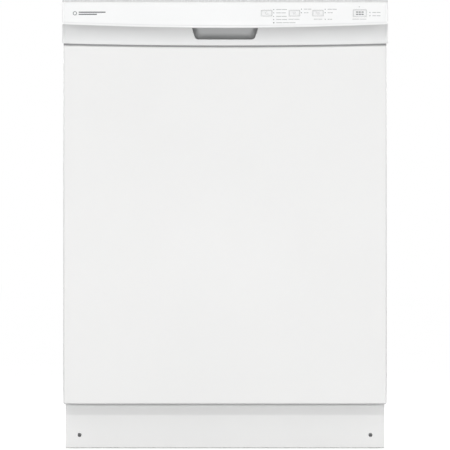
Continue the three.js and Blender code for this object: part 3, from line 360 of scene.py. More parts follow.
class Finish:
    """A procedural material: a tone that wanders, its gloss, and relief from noise."""

    def __init__(self, name, rough, metal=0.0):
        self.material = bpy.data.materials.new(name)
        self.material.use_nodes = True
        self.tree = self.material.node_tree
        self.shader = self.tree.nodes["Principled BSDF"]
        self.set(Roughness=rough, Metallic=metal)
        self.place = self.tree.nodes.new("ShaderNodeTexCoord").outputs["Object"]
        self.height = None

    def set(self, **values):
        """Plain numbers for the shader's own inputs."""
        for key, value in values.items():
            self.shader.inputs[key.replace("_", " ")].default_value = value

    def node(self, kind, **values):
        made = self.tree.nodes.new(kind)
        for key, value in values.items():
            made.inputs[key.replace("_", " ")].default_value = value
        return made

    def link(self, source, target):
        self.tree.links.new(source, target)

    def cloud(self, scale, detail=3.0, stretch=(1, 1, 1)):
        """Noise in the piece's own space, finer along an axis where asked."""
        mapping = self.node("ShaderNodeMapping", Scale=stretch)
        self.link(self.place, mapping.inputs["Vector"])
        made = self.node("ShaderNodeTexNoise", Scale=scale, Detail=detail)
        self.link(mapping.outputs["Vector"], made.inputs["Vector"])
        return made.outputs["Fac"]

    def tone(self, field, dark, light, low=0.35, high=0.65):
        """Colour that runs from dark to light with a field."""
        ramp = self.tree.nodes.new("ShaderNodeValToRGB")
        for stop, place, colour in zip(ramp.color_ramp.elements, (low, high), (dark, light)):
            stop.position = place
            stop.color = (*colour, 1)
        self.link(field, ramp.inputs["Fac"])
        self.link(ramp.outputs["Color"], self.shader.inputs["Base Color"])
        return self

    def shade(self, field, stops):
        """Multiply the tone by a grey that runs through (place, share) stops of a field, which paints shade
        into the colour.
        """
        ramp = self.tree.nodes.new("ShaderNodeValToRGB")
        elements = ramp.color_ramp.elements
        for place, share in stops[1:-1]:
            elements.new(place).color = (share, share, share, 1)
        for element, (place, share) in ((elements[0], stops[0]), (elements[-1], stops[-1])):
            element.position = place
            element.color = (share, share, share, 1)
        self.link(field, ramp.inputs["Fac"])
        mix = self.node("ShaderNodeMix", Factor=1.0)
        mix.data_type = "RGBA"
        mix.blend_type = "MULTIPLY"
        base = self.shader.inputs["Base Color"]
        self.link(base.links[0].from_socket, mix.inputs["A"])
        self.link(ramp.outputs["Color"], mix.inputs["B"])
        self.link(mix.outputs["Result"], base)
        return self

    def step(self, kind, first, second):
        """One arithmetic step on two fields or numbers."""
        made = self.tree.nodes.new("ShaderNodeMath")
        made.operation = kind
        for socket, value in zip(made.inputs, (first, second)):
            if isinstance(value, (int, float)):
                socket.default_value = value
            else:
                self.link(value, socket)
        return made.outputs["Value"]

    def gloss(self, field, low, high):
        """Roughness that runs from low to high with a field."""
        spread_out = self.node("ShaderNodeMapRange", From_Min=0.3, From_Max=0.7, To_Min=low, To_Max=high)
        self.link(field, spread_out.inputs["Value"])
        self.link(spread_out.outputs["Result"], self.shader.inputs["Roughness"])
        return self

    def relief(self, field, depth, strength=1.0):
        """Bump from a field, one layer on another. depth is in metres."""
        bump = self.node("ShaderNodeBump", Strength=strength, Distance=depth)
        self.link(field, bump.inputs["Height"])
        if self.height is not None:
            self.link(self.height, bump.inputs["Normal"])
        self.height = bump.outputs["Normal"]
        self.link(self.height, self.shader.inputs["Normal"])
        return self


def shades(colour, spread_by):
    """A darker and a lighter tone of a colour."""
    return tuple(c * (1 - spread_by) for c in colour), tuple(min(1.0, c * (1 + spread_by)) for c in colour)


class Kind(NamedTuple):
    """How one kind of surface is made. Each noise is a pair: its scale and its detail."""
    tone: tuple  # noise of the tone
    polish: tuple  # noise of the roughness
    gloss: tuple  # how far the roughness runs below and above its middle
    grain: tuple  # noise of the relief
    depth: float  # of the relief, in metres
    metal: float = 0.0


MOULDED = Kind(tone=(14, 3), polish=(30, 3), gloss=(-0.05, 0.06), grain=(900, 2), depth=0.00004)
COARSE_MOULDED = MOULDED._replace(grain=(700, 2), depth=0.00006)
ENAMEL = Kind(tone=(5, 3), polish=(22, 3), gloss=(-0.04, 0.04), grain=(260, 1), depth=0.00003)
ZINC_COAT = Kind(tone=(140, 0), polish=(60, 3), gloss=(-0.08, 0.12), grain=(500, 2), depth=0.00003, metal=0.9)
STEEL = Kind(tone=(45, 4), polish=(120, 4), gloss=(-0.1, 0.12), grain=(700, 3), depth=0.00003, metal=0.95)
RUBBER = Kind(tone=(35, 5), polish=(80, 3), gloss=(-0.06, 0.08), grain=(1100, 3), depth=0.00005)
NYLON_DIP = Kind(tone=(60, 3), polish=(90, 3), gloss=(-0.06, 0.08), grain=(240, 2), depth=0.00012)
EVEN = (1, 1, 1)


def surface(name, kind, colour, rough, tone, stretch=EVEN):
    """A finish of one kind. tone is how far the colour wanders, stretch the direction of its lines."""
    made = Finish(name, rough, kind.metal)
    if kind is ZINC_COAT:
        spangle = made.node("ShaderNodeTexVoronoi", Scale=kind.tone[0])
        made.link(made.place, spangle.inputs["Vector"])
        made.tone(spangle.outputs["Color"], *shades(colour, tone), low=0.1, high=0.9)
    else:
        made.tone(made.cloud(*kind.tone), *shades(colour, tone))
    below, above = kind.gloss
    made.gloss(made.cloud(*kind.polish, stretch), rough + below, min(1.0, rough + above))
    made.relief(made.cloud(*kind.grain, stretch), kind.depth)
    return made


def look(*recipe):
    return surface(*recipe).material


def enamel():
    """Sprayed and baked enamel: orange peel over a barely changing white, under a clear gloss."""
    made = surface("white_enamel", ENAMEL, (0.84, 0.84, 0.835), 0.34, 0.006)
    made.set(Coat_Weight=0.25, Coat_Roughness=0.12)
    return made.material


def felt(dark, light):
    """Pressed fibre: long threads in tone and a hairy surface."""
    made = Finish("blanket_felt", 0.95)
    fibres = made.cloud(420.0, 8.0, (1, 1, 0.35))
    made.tone(fibres, dark, light, 0.38, 0.62)
    made.relief(made.cloud(160.0, 6.0), depth=0.0009)
    made.relief(fibres, depth=0.0004)
    made.set(Sheen_Weight=0.35, Sheen_Roughness=0.6)
    return made.material


# Each material: its name, kind, colour, roughness and how far its tone wanders.
WHITE = enamel()
BUTTON_WHITE = look("button_white", MOULDED, (0.885, 0.89, 0.89), 0.42, 0.006)
# Painted shade: the pocket's grey stands in for the shade deep in the recess behind the lip.
POCKET_PAINTED_SHADE = look("pocket_grey", MOULDED, (0.42, 0.423, 0.426), 0.5, 0.02)
# Painted shade: the grey of the strip behind the console's seam stands in for the shadow in the gap.
SEAM_PAINTED_SHADE = look("seam_grey", MOULDED, (0.3, 0.302, 0.305), 0.6, 0.02)
PRINT_GREY = look("print_grey", MOULDED, (0.13, 0.135, 0.14), 0.6, 0.05)
PRINT_PALE = look("print_pale", MOULDED, (0.45, 0.455, 0.46), 0.55, 0.04)
LAMP_GREY = look("lamp_lens", MOULDED, (0.2, 0.21, 0.22), 0.25, 0.05)
TUB_GREY = look("tub_grey", COARSE_MOULDED, (0.6, 0.62, 0.63), 0.42, 0.03)
LINER_GREY = look("liner_grey", COARSE_MOULDED, (0.66, 0.68, 0.69), 0.42, 0.03)
MID_GREY = look("mid_grey", MOULDED, (0.36, 0.38, 0.395), 0.45, 0.05)
PALE_GREY = look("pale_grey", MOULDED, (0.52, 0.54, 0.55), 0.45, 0.04)
DARK = look("dark_plastic", MOULDED, (0.045, 0.047, 0.05), 0.48, 0.12)
CAP_BLUE = look("cap_blue_grey", MOULDED, (0.12, 0.16, 0.21), 0.4, 0.08)
SEAL = look("seal_rubber", RUBBER, (0.06, 0.062, 0.065), 0.78, 0.14)
HOSE_GREY = look("hose_grey", RUBBER, (0.26, 0.27, 0.28), 0.55, 0.14)
FELT = felt(dark=(0.07, 0.064, 0.056), light=(0.17, 0.155, 0.135))
ZINC = look("zinc_sheet", ZINC_COAT, (0.5, 0.52, 0.53), 0.42, 0.16)
FILTER_STEEL = look("filter_steel", STEEL, (0.56, 0.57, 0.58), 0.3, 0.05, (1, 8, 1))
MOTOR = look("motor_paint", MOULDED, (0.14, 0.145, 0.155), 0.42, 0.08)
HEATER = look("heater_steel", STEEL, (0.16, 0.14, 0.125), 0.45, 0.25)
SPRING = look("spring_wire", STEEL, (0.42, 0.43, 0.44), 0.35, 0.1, (1, 6, 1))
SCREW_STEEL = look("screw_steel", STEEL, (0.62, 0.63, 0.64), 0.32, 0.06, (6, 1, 1))
COPPER = look("coil_copper", STEEL, (0.5, 0.26, 0.14), 0.35, 0.1, (1, 1, 8))
RACK_BLUE = look("rack_nylon", NYLON_DIP, (0.17, 0.235, 0.3), 0.35, 0.05)


# ---- Camera, light and floor ----

CAMERA_FAR = 16.0  # the camera stands this far before the face, so its view has almost no perspective
FRAME_TALL = 0.837  # metres across the square picture at the face
WORLD_LIGHT = 0.18  # the backdrop looks white but lights the object softly
FLOOR_HALF = 40.0
FLOOR_LIFT = -0.0005
FLOOR_GLOW = 0.93
FLOOR_TONES = ((0.3, 0.3, 0.3), (0.34, 0.34, 0.34))
LIGHT_AIM = (0, 0, 0.42)


def camera():
    lens_data = bpy.data.cameras.new("camera")
    lens_data.lens = lens_data.sensor_width * CAMERA_FAR / FRAME_TALL
    lens_data.clip_end = 60
    made = bpy.data.objects.new("camera", lens_data)
    made.location = (0, FRONT - CAMERA_FAR, TOP / 2)
    made.rotation_euler = (math.pi / 2, 0, 0)
    bpy.context.scene.collection.objects.link(made)
    bpy.context.scene.camera = made


def area_light(name, place, size, watts, mirrored=True):
    data = bpy.data.lights.new(name, "AREA")
    data.shape = "RECTANGLE"
    data.size, data.size_y = size
    data.energy = watts
    made = bpy.data.objects.new(name, data)
    made.location = place
    made.rotation_euler = (Vector(LIGHT_AIM) - Vector(place)).to_track_quat("-Z", "Y").to_euler()
    made.visible_glossy = mirrored
    bpy.context.scene.collection.objects.link(made)


def wire_up(tree, *rows):
    """Links of a node tree: a node, its output, the next node and its input in each row."""
    for source, output, target, socket in rows:
        tree.links.new(source.outputs[output], target.inputs[socket])


def white_world():
    """A white backdrop, whose light on the object is softer than it looks."""
    world = bpy.data.worlds.new("studio")
    world.use_nodes = True
    tree = world.node_tree
    ray = tree.nodes.new("ShaderNodeLightPath")
    mix = tree.nodes.new("ShaderNodeMixShader")
    glow = tree.nodes["Background"]
    backdrop = tree.nodes.new("ShaderNodeBackground")
    for made, strength in ((glow, WORLD_LIGHT), (backdrop, 1.0)):
        made.inputs["Color"].default_value = (1, 1, 1, 1)
        made.inputs["Strength"].default_value = strength
    wire_up(tree, (ray, "Is Camera Ray", mix, "Fac"), (glow, "Background", mix, 1),
            (backdrop, "Background", mix, 2), (mix, "Shader", tree.nodes["World Output"], "Surface"))
    bpy.context.scene.world = world


def floor():
    """A pale plane that looks near white, and is open to views from below."""
    ends = (-FLOOR_HALF, FLOOR_HALF)
    form = Form().grid([[(x, y, FLOOR_LIFT) for x in ends] for y in ends])
    made = mesh_object(form, "floor")
    finish = Finish("floor_paint", 0.9)
    finish.tone(finish.cloud(1.5), *FLOOR_TONES)
    glow = finish.node("ShaderNodeEmission", Strength=FLOOR_GLOW)
    lit, clear, ray, side, seen, shown = (finish.node(f"ShaderNode{kind}") for kind in (
        "AddShader", "BsdfTransparent", "LightPath", "NewGeometry", "MixShader", "MixShader"))
    wire_up(finish.tree,
            (ray, "Is Camera Ray", seen, "Fac"), (finish.shader, "BSDF", seen, 1),
            (finish.shader, "BSDF", lit, 0), (glow, "Emission", lit, 1), (lit, "Shader", seen, 2),
            (side, "Backfacing", shown, "Fac"), (seen, "Shader", shown, 1), (clear, "BSDF", shown, 2),
            (shown, "Shader", finish.tree.nodes["Material Output"], "Surface"))
    made.data.materials.append(finish.material)


def studio():
    camera()
    white_world()
    floor()
    area_light("front", place=(0, -6.5, 0.3), size=(4.5, 0.5), watts=338, mirrored=False)
    area_light("key", place=(-1.4, -4.0, 3.2), size=(2.6, 2.0), watts=13)
    area_light("fill", place=(2.6, -3.6, 1.8), size=(2.2, 2.2), watts=4)
    for _, side in SIDES:
        area_light("edge", place=(side * 3.0, -2.2, 0.8), size=(0.5, 2.4), watts=3)
        area_light("side", place=(side * 3.6, 2.8, 1.9), size=(2.0, 2.4), watts=120)
    area_light("rear", place=(0, 5.0, 1.9), size=(4.0, 2.0), watts=60)
    bpy.context.scene.view_settings.view_transform = "Standard"


# ---- Console ----

LIP = 0.7914
LIP_SAG = 0.0065  # how much lower the lip is at mid-width than at its ends
LOW_SAG = 0.0038  # the same for the rim
CONSOLE_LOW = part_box("console")[LOW].z + LOW_SAG
CONSOLE_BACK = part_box("console")[HIGH].y
SCOOP_DEPTH = 0.0118
SCOOP_CURVE = (2.6, 3.8)  # the scoop turns in faster under the lip towards its ends
SCOOP_END = 0.03  # the scoop runs out over this length at each end
SCOOP_LEFT = 0.45  # share of its depth that is left there
SCOOP_SHARES = (*spread(1.0, 0.1, 16), 0.06, 0.045, 0.03, 0.015, 0.0)
RIM_ROLL = 0.0016
BEAD_TALL = 0.0042
BEAD_PROUD = 0.00038
CREASE_DEEP = 0.00022
CREASE_WIDE = 0.12
FACE = FRONT + 0.0004
INLAY = FRONT + 0.00012
SKIN = 0.0026
TOP_ROUND = 0.0065
END_CAP = 0.0037  # from an end to the groove round its cap
END_ROUND = 0.0012
GROOVE_DEEP = 0.0007
GROOVE_WIDE = 0.00035
# Stations along X, as distances from an end: close together where the surface turns.
END_STEPS = (0.0, 0.0001, 0.0003, 0.0007, 0.0012, 0.0022, 0.003, 0.0033, 0.0035, 0.0037, 0.0039, 0.0041,
             0.0045, 0.007, 0.011, 0.015, 0.019, 0.023, 0.028, 0.033)
MIDDLE_STATIONS = 44
POCKET_HALF = 0.0617
POCKET_TOP = 0.7846
POCKET_LOW = 0.7632
POCKET_LEAN = 0.0045
POCKET_ROUND = 0.008
POCKET_BACK = -0.2745
POCKET_CEILING = 0.7955
POCKET_WALL = 0.0014
SEAM = 0.003
SHADE_BELOW = 0.034
SHADE_ABOVE = 0.006
# Painted shade, as (place, share) stops: the tone is darkened in the scoop, from its rim up to the lip, and
# along the crease over the bead.
SHADE_STOPS = ((0.0, 0.92), (0.2, 0.84), (0.5, 0.75), (0.78, 0.7), (0.845, 0.69), (0.87, 0.98), (0.92, 1.0),
               (0.95, 0.88), (0.985, 1.0))
FLAT_END = HALF - 0.0009  # the ends' flat faces stand past this


def console_white_painted_shade():
    """Moulded white with painted shade: greyer in the hollow of the scoop under the lip and along the crease
    over the bead, plain on the flat ends.
    """
    made = surface("console_white_painted_shade", MOULDED, (0.9, 0.905, 0.905), 0.38, 0.006)
    parts = made.node("ShaderNodeSeparateXYZ")
    made.link(made.place, parts.inputs["Vector"])
    square = made.step("MULTIPLY", parts.outputs["X"], parts.outputs["X"])
    rise = made.step("MULTIPLY", square, LIP_SAG / HALF ** 2)
    level = made.step("SUBTRACT", parts.outputs["Z"], rise)
    above = made.step("SUBTRACT", level, LIP - LIP_SAG - SHADE_BELOW)
    share = made.step("DIVIDE", above, SHADE_BELOW + SHADE_ABOVE)
    on_end = made.step("GREATER_THAN", made.step("ABSOLUTE", parts.outputs["X"], 0), FLAT_END)
    # The grey stops paint the shade of the scoop and the crease into the base colour; the flat ends are left
    # plain.
    return made.shade(made.step("ADD", share, on_end), SHADE_STOPS).material


CONSOLE_WHITE_PAINTED_SHADE = console_white_painted_shade()


def bow(x):
    """How far along the sag a station lies: 0 at the ends, 1 at mid-width."""
    return 1 - (x / HALF) ** 2


def rim(x):
    return CONSOLE_LOW - LOW_SAG * bow(x)


def scoop_bite(x, t, depth=SCOOP_DEPTH):
    """How deep the scoop is at a share t of the way from the lip to the rim."""
    return depth * (1 - (1 - t) ** lerp(*SCOOP_CURVE, smooth_step(0.1, 0.8, abs(x) / HALF)))


def console_section(x, shrink=0.0):
    """(y, z) points from the bottom rim up the face and over the top. shrink moves them inwards."""
    lip = LIP - LIP_SAG * bow(x)
    low = rim(x)
    end = HALF - abs(x)
    depth = SCOOP_DEPTH * SCOOP_LEFT
    if end >= END_CAP:
        depth = SCOOP_DEPTH * lerp(SCOOP_LEFT, 1.0, smooth_step(0.0, SCOOP_END, end - END_CAP))
    inset = shrink + GROOVE_DEEP * math.exp(-((end - END_CAP) / GROOVE_WIDE) ** 2)
    if end < END_ROUND:
        inset += END_ROUND - math.sqrt(max(0.0, END_ROUND ** 2 - (END_ROUND - end) ** 2))
    points = []
    for t in SCOOP_SHARES:
        roll = RIM_ROLL * smooth_step(0.93, 1.0, t)
        points.append((FACE + scoop_bite(x, t, depth) + roll + inset, lerp(lip, low, t)))
    for t in spread(0.12, 1.0, 8):
        swell = BEAD_PROUD * math.sin(math.pi * t) ** 0.8 if t < 1 else 0.0
        crease = CREASE_DEEP * math.exp(-((t - 1) / CREASE_WIDE) ** 2)
        points.append((FACE - swell + crease + inset, lip + BEAD_TALL * t))
    for z in spread(lip + BEAD_TALL + 0.002, TOP - TOP_ROUND - 0.001, 6):
        points.append((FACE + inset, z))
    round_radius = TOP_ROUND - shrink
    centre = (FACE + inset + round_radius, TOP - shrink - round_radius)
    points += arc(centre, round_radius, 180, 90, 7)
    points += [(lerp(centre[0], CONSOLE_BACK, 0.5), TOP - shrink), (CONSOLE_BACK, TOP - shrink)]
    if shrink:
        points = [(y, max(z, low + 0.0001)) for y, z in points]
    return points


def console_stations():
    near_end = [HALF - d for d in END_STEPS]
    middle = spread(-near_end[-1], near_end[-1], MIDDLE_STATIONS)
    return [-x for x in near_end[:-1]] + middle + list(reversed(near_end[:-1]))


def pocket_outline(half, low, top, radius, steps=7):
    """(x, z) points round the pocket: a straight top, leaning sides and round lower corners."""
    reach = half - POCKET_LEAN - radius
    left = arc((-reach, low + radius), radius, 188, 270, steps)
    right = arc((reach, low + radius), radius, 270, 352, steps)
    return [(half, top), (-half, top)] + left + right


def console_skin(shrink):
    return [[(x, y, z) for y, z in console_section(x, shrink)] for x in console_stations()]


def console():
    made = mesh_object(Form().shell(console_skin(0.0), console_skin(SKIN)), "console_shell")
    mouth = pocket_outline(POCKET_HALF, POCKET_LOW, POCKET_TOP, POCKET_ROUND)
    cutters = [Form().plate(mouth, FRONT - 0.002, FRONT + 0.03)]
    for place in BUTTONS.values():
        cutters.append(Form().plate(button_outline(*place, BUTTON_GAP), FRONT - 0.01, FRONT + 0.02))
    carve(made, cutters)
    finish_piece(made, "door", CONSOLE_WHITE_PAINTED_SHADE, ["console"])


def end_webs():
    """The console's closed ends, inside its skin."""
    for name, side in SIDES:
        x = side * (HALF - 0.0018)
        section = console_section(HALF - 0.002, 0.0012)
        outline = section + [(CONSOLE_BACK, CONSOLE_LOW + 0.001)]
        form = Form().side_bar(outline, x - 0.0011, x + 0.0011)
        piece(form, f"console_end_{name}", "door", CONSOLE_WHITE_PAINTED_SHADE)


def handle_pocket():
    """A scooped cup: the mouth, a hollow that rises behind the lip, and a floor that climbs to the back. Its
    grey is painted shade for the recess.
    """
    lip = LIP - LIP_SAG
    rings = []
    for t in (0.0, 0.06, 0.16, 0.3, 0.5, 0.7, 0.86, 0.95, 1.0):
        fall = 1 - math.sqrt(max(0.0, 1 - t ** 2.2))
        low = POCKET_LOW + 0.0001 + 0.0022 * t + 0.011 * fall
        half = POCKET_HALF + 0.0002 - 0.0012 * t - 0.006 * fall
        top = lerp(POCKET_TOP - 0.0005, POCKET_CEILING, smooth_step(0.1, 0.35, t)) - 0.006 * fall
        ring = []
        for x, z in pocket_outline(half, low, top, POCKET_ROUND + 0.004 * t):
            down = clamp((lip - z) / (lip - CONSOLE_LOW + LOW_SAG))
            ring.append((x, lerp(FACE + scoop_bite(x, down) + 0.0008, POCKET_BACK, t), z))
        rings.append(ring)
    form = Form().grid(rings, around=True)
    back_ring = len(form.points) - len(rings[-1])
    form.faces.append(tuple(range(back_ring, len(form.points))))
    made = mesh_object(form, "handle_pocket_cup", 50)
    walled(made, POCKET_WALL, 1.0, "wall")
    finish_piece(made, "door", POCKET_PAINTED_SHADE, ["handle_pocket"])


# ---- Buttons and print ----

BUTTON_GAP = 0.00022
ROW_Z = 0.8120
# Each button: its middle in x and z, its width and its height.
BUTTONS = {
    "cycles": (0.0775, ROW_Z, 0.0206, 0.0118),
    "temp": (0.1292, ROW_Z, 0.0206, 0.0118),
    "dry": (0.1729, ROW_Z, 0.0206, 0.0118),
    "start": (0.2508, ROW_Z, 0.0255, 0.0136),
}
LINE = 0.00042
INK = 0.0005  # how deep the print is let into the face
# The rings of a button from its back to its face: how far each is drawn in, and its depth.
BUTTON_RINGS = ((0.0, 0.0072), (0.0, 0.0006), (0.00012, 0.0003), (0.0004, 0.00016), (0.0016, 0.0001))


def button_outline(x, z, wide, tall, grow=0.0):
    across, up = wide / 2 + grow, tall / 2 + grow
    return rounded_outline(x - across, x + across, z - up, z + up, 0.0014 + grow)


def button(name):
    place = BUTTONS[name]
    rings = []
    for inset, y in BUTTON_RINGS:
        rings.append([(x, FRONT + y + 0.0002, z) for x, z in button_outline(*place, -inset)])
    form = Form().grid(rings, around=True, caps=True)
    body = f"{name}_button"
    piece(form, f"{body}_cap", body, BUTTON_WHITE, [body])
    frame_line = Form().band(button_outline(*place, -0.0009), LINE, INLAY, INLAY + 0.0006)
    piece(frame_line, f"{body}_outline", body, PRINT_PALE)
    tone = PRINT_GREY if name == "start" else PRINT_PALE
    piece(icon(name, *place[:2]), f"{body}_icon", body, tone)


def ink_line(form, points, width=0.0004):
    """A flat printed line through (x, z) points."""
    left, right = [], []
    for i, (x, z) in enumerate(points):
        x0, z0 = points[max(0, i - 1)]
        x1, z1 = points[min(len(points) - 1, i + 1)]
        length = math.hypot(x1 - x0, z1 - z0)
        nx, nz = -(z1 - z0) / length * width / 2, (x1 - x0) / length * width / 2
        left.append((x + nx, z + nz))
        right.append((x - nx, z - nz))
    y0, y1 = INLAY, INLAY + INK
    rows = [[(a[0], y0, a[1]), (b[0], y0, b[1]), (b[0], y1, b[1]), (a[0], y1, a[1])]
            for a, b in zip(left, right)]
    form.grid(rows, around=True, caps=True)


def icon(name, x, z):
    """A plain sign for what the button does: a loop, waves of heat, drops of air, or a start bar."""
    form = Form()
    if name == "cycles":
        ink_line(form, arc((x, z), 0.0026, 60, 340, 16))
        ink_line(form, [(x + 0.0012, z - 0.0018), (x + 0.0025, z - 0.0008), (x + 0.0034, z - 0.0022)])
    elif name == "temp":
        for dx in (-0.0022, 0.0, 0.0022):
            ink_line(form, [(x + dx + 0.0005 * math.sin(t * 6.0), z + lerp(-0.003, 0.003, t))
                            for t in spread(0, 1, 9)])
    elif name == "dry":
        for dz in (-0.002, 0.0, 0.002):
            ink_line(form, [(x + lerp(-0.0036, 0.0036, t), z + dz + 0.0005 * math.sin(t * 9.0))
                            for t in spread(0, 1, 11)])
    else:
        for dz in (0.0021, -0.0021):
            ink_bars(form, x - 0.0072, z + dz, 0.0144, 0.0017, 3)
    return form


def ink_bars(form, x, z, length, tall=0.0010, words=2):
    """A short row of bars that stands for a printed label."""
    gap = 0.0009
    bar = (length - gap * (words - 1)) / words
    for i in range(words):
        start = x + i * (bar + gap)
        outline = rounded_outline(start, start + bar, z - tall / 2, z + tall / 2, tall * 0.3, 3)
        form.plate(outline, INLAY, INLAY + INK)


# Each lamp column: its x, then each lamp's z and the length of the label beside it.
LAMPS = {
    "cycles": (0.0907, [(0.8187, 0.0200), (0.8126, 0.0185), (0.8061, 0.0195), (0.8001, 0.0205),
                        (0.7942, 0.0360)]),
    "temp": (0.1422, [(0.8195, 0.0140), (0.8128, 0.0085)]),
    "dry": (0.1863, [(0.8193, 0.0170), (0.8128, 0.0095), (0.8007, 0.0085)]),
    "start": (0.2696, [(0.8133, 0.0150), (0.8072, 0.0150)]),
}
LABEL_STEP = 0.0045
# Each caption under a button: its x, its length and its z.
CAPTIONS = ((0.1180, 0.0205, 0.8007), (0.1650, 0.0160, 0.8009), (0.2370, 0.0260, 0.8009))
LAMP = 0.00085
STRONG_LAMP = 0.00115
START_LAMP = 0.0007
LONG_LABEL = 0.03
MARK = (-0.2830, -0.2755, 0.8080, 0.8155)  # the plain ring at the left: x0, x1, z0, z1
MARK_LINES = ((0.8138, 0.0500), (0.8099, 0.0340))


def print_on_console():
    lamps = Form()
    labels = Form()
    for name, (x, rows) in LAMPS.items():
        for z, length in rows:
            strong = name == "cycles" and z == rows[-1][0]
            radius = STRONG_LAMP if strong else LAMP
            lens = [(0, INK), (radius, INK), (radius, 0), (radius * 0.6, -0.00008), (0, -0.0001)]
            lamps.lathe(lens, (x, INLAY, z), ALONG_Y, 14)
            ink_bars(labels, x + LABEL_STEP, z, length, 0.0011, 2 if length < LONG_LABEL else 3)
    lens = [(0, INK), (START_LAMP, INK), (START_LAMP, 0), (0, -0.0001)]
    lamps.lathe(lens, (0.2497, INLAY, 0.8237), ALONG_Y, 12)
    for x, length, z in CAPTIONS:
        ink_bars(labels, x, z, length)
    piece(lamps, "console_lamps", "door", LAMP_GREY)
    piece(labels, "console_labels", "door", PRINT_PALE)
    mark = Form().band(rounded_outline(*MARK, 0.0037), 0.0012, INLAY, INLAY + INK)
    for z, length in MARK_LINES:
        ink_bars(mark, -0.2722, z, length, 0.0020, 1)
    piece(mark, "console_plain_mark", "door", PRINT_GREY)


# ---- Door and kick plate ----

STRIP_BACK = 0.0032  # how far behind the door's face the seam's strip stands
STRIP_BELOW, STRIP_ABOVE = 0.008, 0.009
DOOR_HEM = 0.022
DOOR_BEND = 0.0032
SHARP_FOLD = 1.0  # radians
SHEET = 0.001
KICK_FOLD = 0.0632
KICK_LEAN = 0.022
KICK_SHEET = 0.0013
SCREW_X = 0.272
SCREW_Z = 0.0255
# Outline of a pan-head screw: the radius and the depth behind the crown.
SCREW_HEAD = ((0, 0.0), (0.0018, 0.0001), (0.0034, 0.0007), (0.0042, 0.0016), (0.0043, 0.0021),
              (0.0046, 0.00225), (0.0046, 0.0026), (0.0022, 0.0026), (0.0022, 0.012), (0, 0.0135))


def door_panel():
    """A folded sheet pan with a bowed upper edge that follows the console."""
    lo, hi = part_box("door_panel")
    work = bmesh.new()
    columns = []
    for x in spread(lo.x, -lo.x, 41):
        edge = rim(x) - SEAM
        line = [(DOOR_HEM, lo.z), (0, lo.z), (0, edge), (DOOR_HEM, edge)]
        columns.append([work.verts.new((x, lo.y + y, z)) for y, z in line])
    for a, b in zip(columns, columns[1:]):
        for i in range(3):
            work.faces.new((a[i], a[i + 1], b[i + 1], b[i]))
    for column in (columns[0], columns[-1]):
        deep = [work.verts.new((column[k].co.x, hi.y, column[k].co.z)) for k in (0, 3)]
        work.faces.new(column)
        work.faces.new((deep[0], column[0], column[3], deep[1]))
    bmesh.ops.recalc_face_normals(work, faces=work.faces)
    folds = [e for e in work.edges if len(e.link_faces) == 2 and e.calc_face_angle(0) > SHARP_FOLD
             and min(v.co.y for v in e.verts) < lo.y + WELD / 2]
    bmesh.ops.bevel(work, geom=folds, offset=DOOR_BEND, segments=6, profile=0.5, affect="EDGES")
    mesh = bpy.data.meshes.new("door_front_panel")
    work.to_mesh(mesh)
    work.free()
    made = stand(mesh, "door_front_panel", 50)
    walled(made, SHEET, -1.0)
    finish_piece(made, "door", WHITE, ["door_panel"])


def seam_strip():
    """A grey strip that closes the seam from behind; its grey is painted shade, standing in for the shadow in
    the gap.
    """
    lo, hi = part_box("door_panel")
    y = lo.y + STRIP_BACK
    rows = []
    for x in spread(lo.x + 0.0006, hi.x - 0.0006, 41):
        low, high = rim(x) - SEAM - STRIP_BELOW, rim(x) - SEAM + STRIP_ABOVE
        rows.append([(x, y, low), (x, y, high), (x, y + 0.001, high), (x, y + 0.001, low)])
    form = Form().grid(rows, around=True, caps=True)
    piece(form, "console_seam_shade_strip", "door", SEAM_PAINTED_SHADE)


def kick_plate():
    """Bent sheet: a hem, the upright face, the band that leans back under the door, and returned ends."""
    lo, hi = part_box("kick_plate")
    section = [(0.009, lo.z), (0.0022, lo.z), (0.0006, lo.z + 0.0007), (0, lo.z + 0.0022),
               (0, KICK_FOLD - 0.0025), (0.00035, KICK_FOLD - 0.0008), (0.0012, KICK_FOLD + 0.0008),
               (KICK_LEAN, hi.z)]
    form = Form().grid([[(x, lo.y + y, z) for y, z in section] for x in spread(lo.x, hi.x, 9)])
    made = mesh_object(form, "kick_plate_panel", 30)
    walled(made, KICK_SHEET, 1.0)
    apply_modifiers(made, 30)
    front, behind = lo.y - 0.01, lo.y + 0.004
    holes = [Form().rod((s * SCREW_X, front, SCREW_Z), (s * SCREW_X, behind, SCREW_Z), 0.0027, 20)
             for _, s in SIDES]
    corners = [Form().block((s * 0.2945, front, 0.0842), (s * 0.31, lo.y + 0.04, 0.1)) for _, s in SIDES]
    carve(made, [*holes, *corners])
    finish_piece(made, "cabinet", WHITE, ["kick_plate"])
    low, back = lo.z + 0.001, lo.y + 0.012
    for name, side in SIDES:
        x = side * (hi.x - 0.0004)
        flange = [(lo.y + 0.0016, low), (back, low), (back, KICK_FOLD), (lo.y + 0.0022, KICK_FOLD)]
        form = Form().side_bar(flange, x - 0.0004, x + 0.0004)
        piece(form, f"kick_plate_return_{name}", "cabinet", WHITE)


def kick_screws():
    """Pan-head screws with a cross recess, each on a pressed washer face."""
    for name, side in SIDES:
        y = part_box(f"kick_screw_{name}")[LOW].y
        x = side * SCREW_X
        made = mesh_object(Form().lathe(SCREW_HEAD, (x, y, SCREW_Z), ALONG_Y, 28), f"kick_screw_head_{name}")
        carve(made, [Form().block((x - a, y - 0.001, SCREW_Z - b), (x + a, y + 0.0013, SCREW_Z + b))
                     for a, b in ((0.0022, 0.00045), (0.00045, 0.0022))])
        finish_piece(made, "cabinet", SCREW_STEEL, [f"kick_screw_{name}"])


# ---- Tub ----

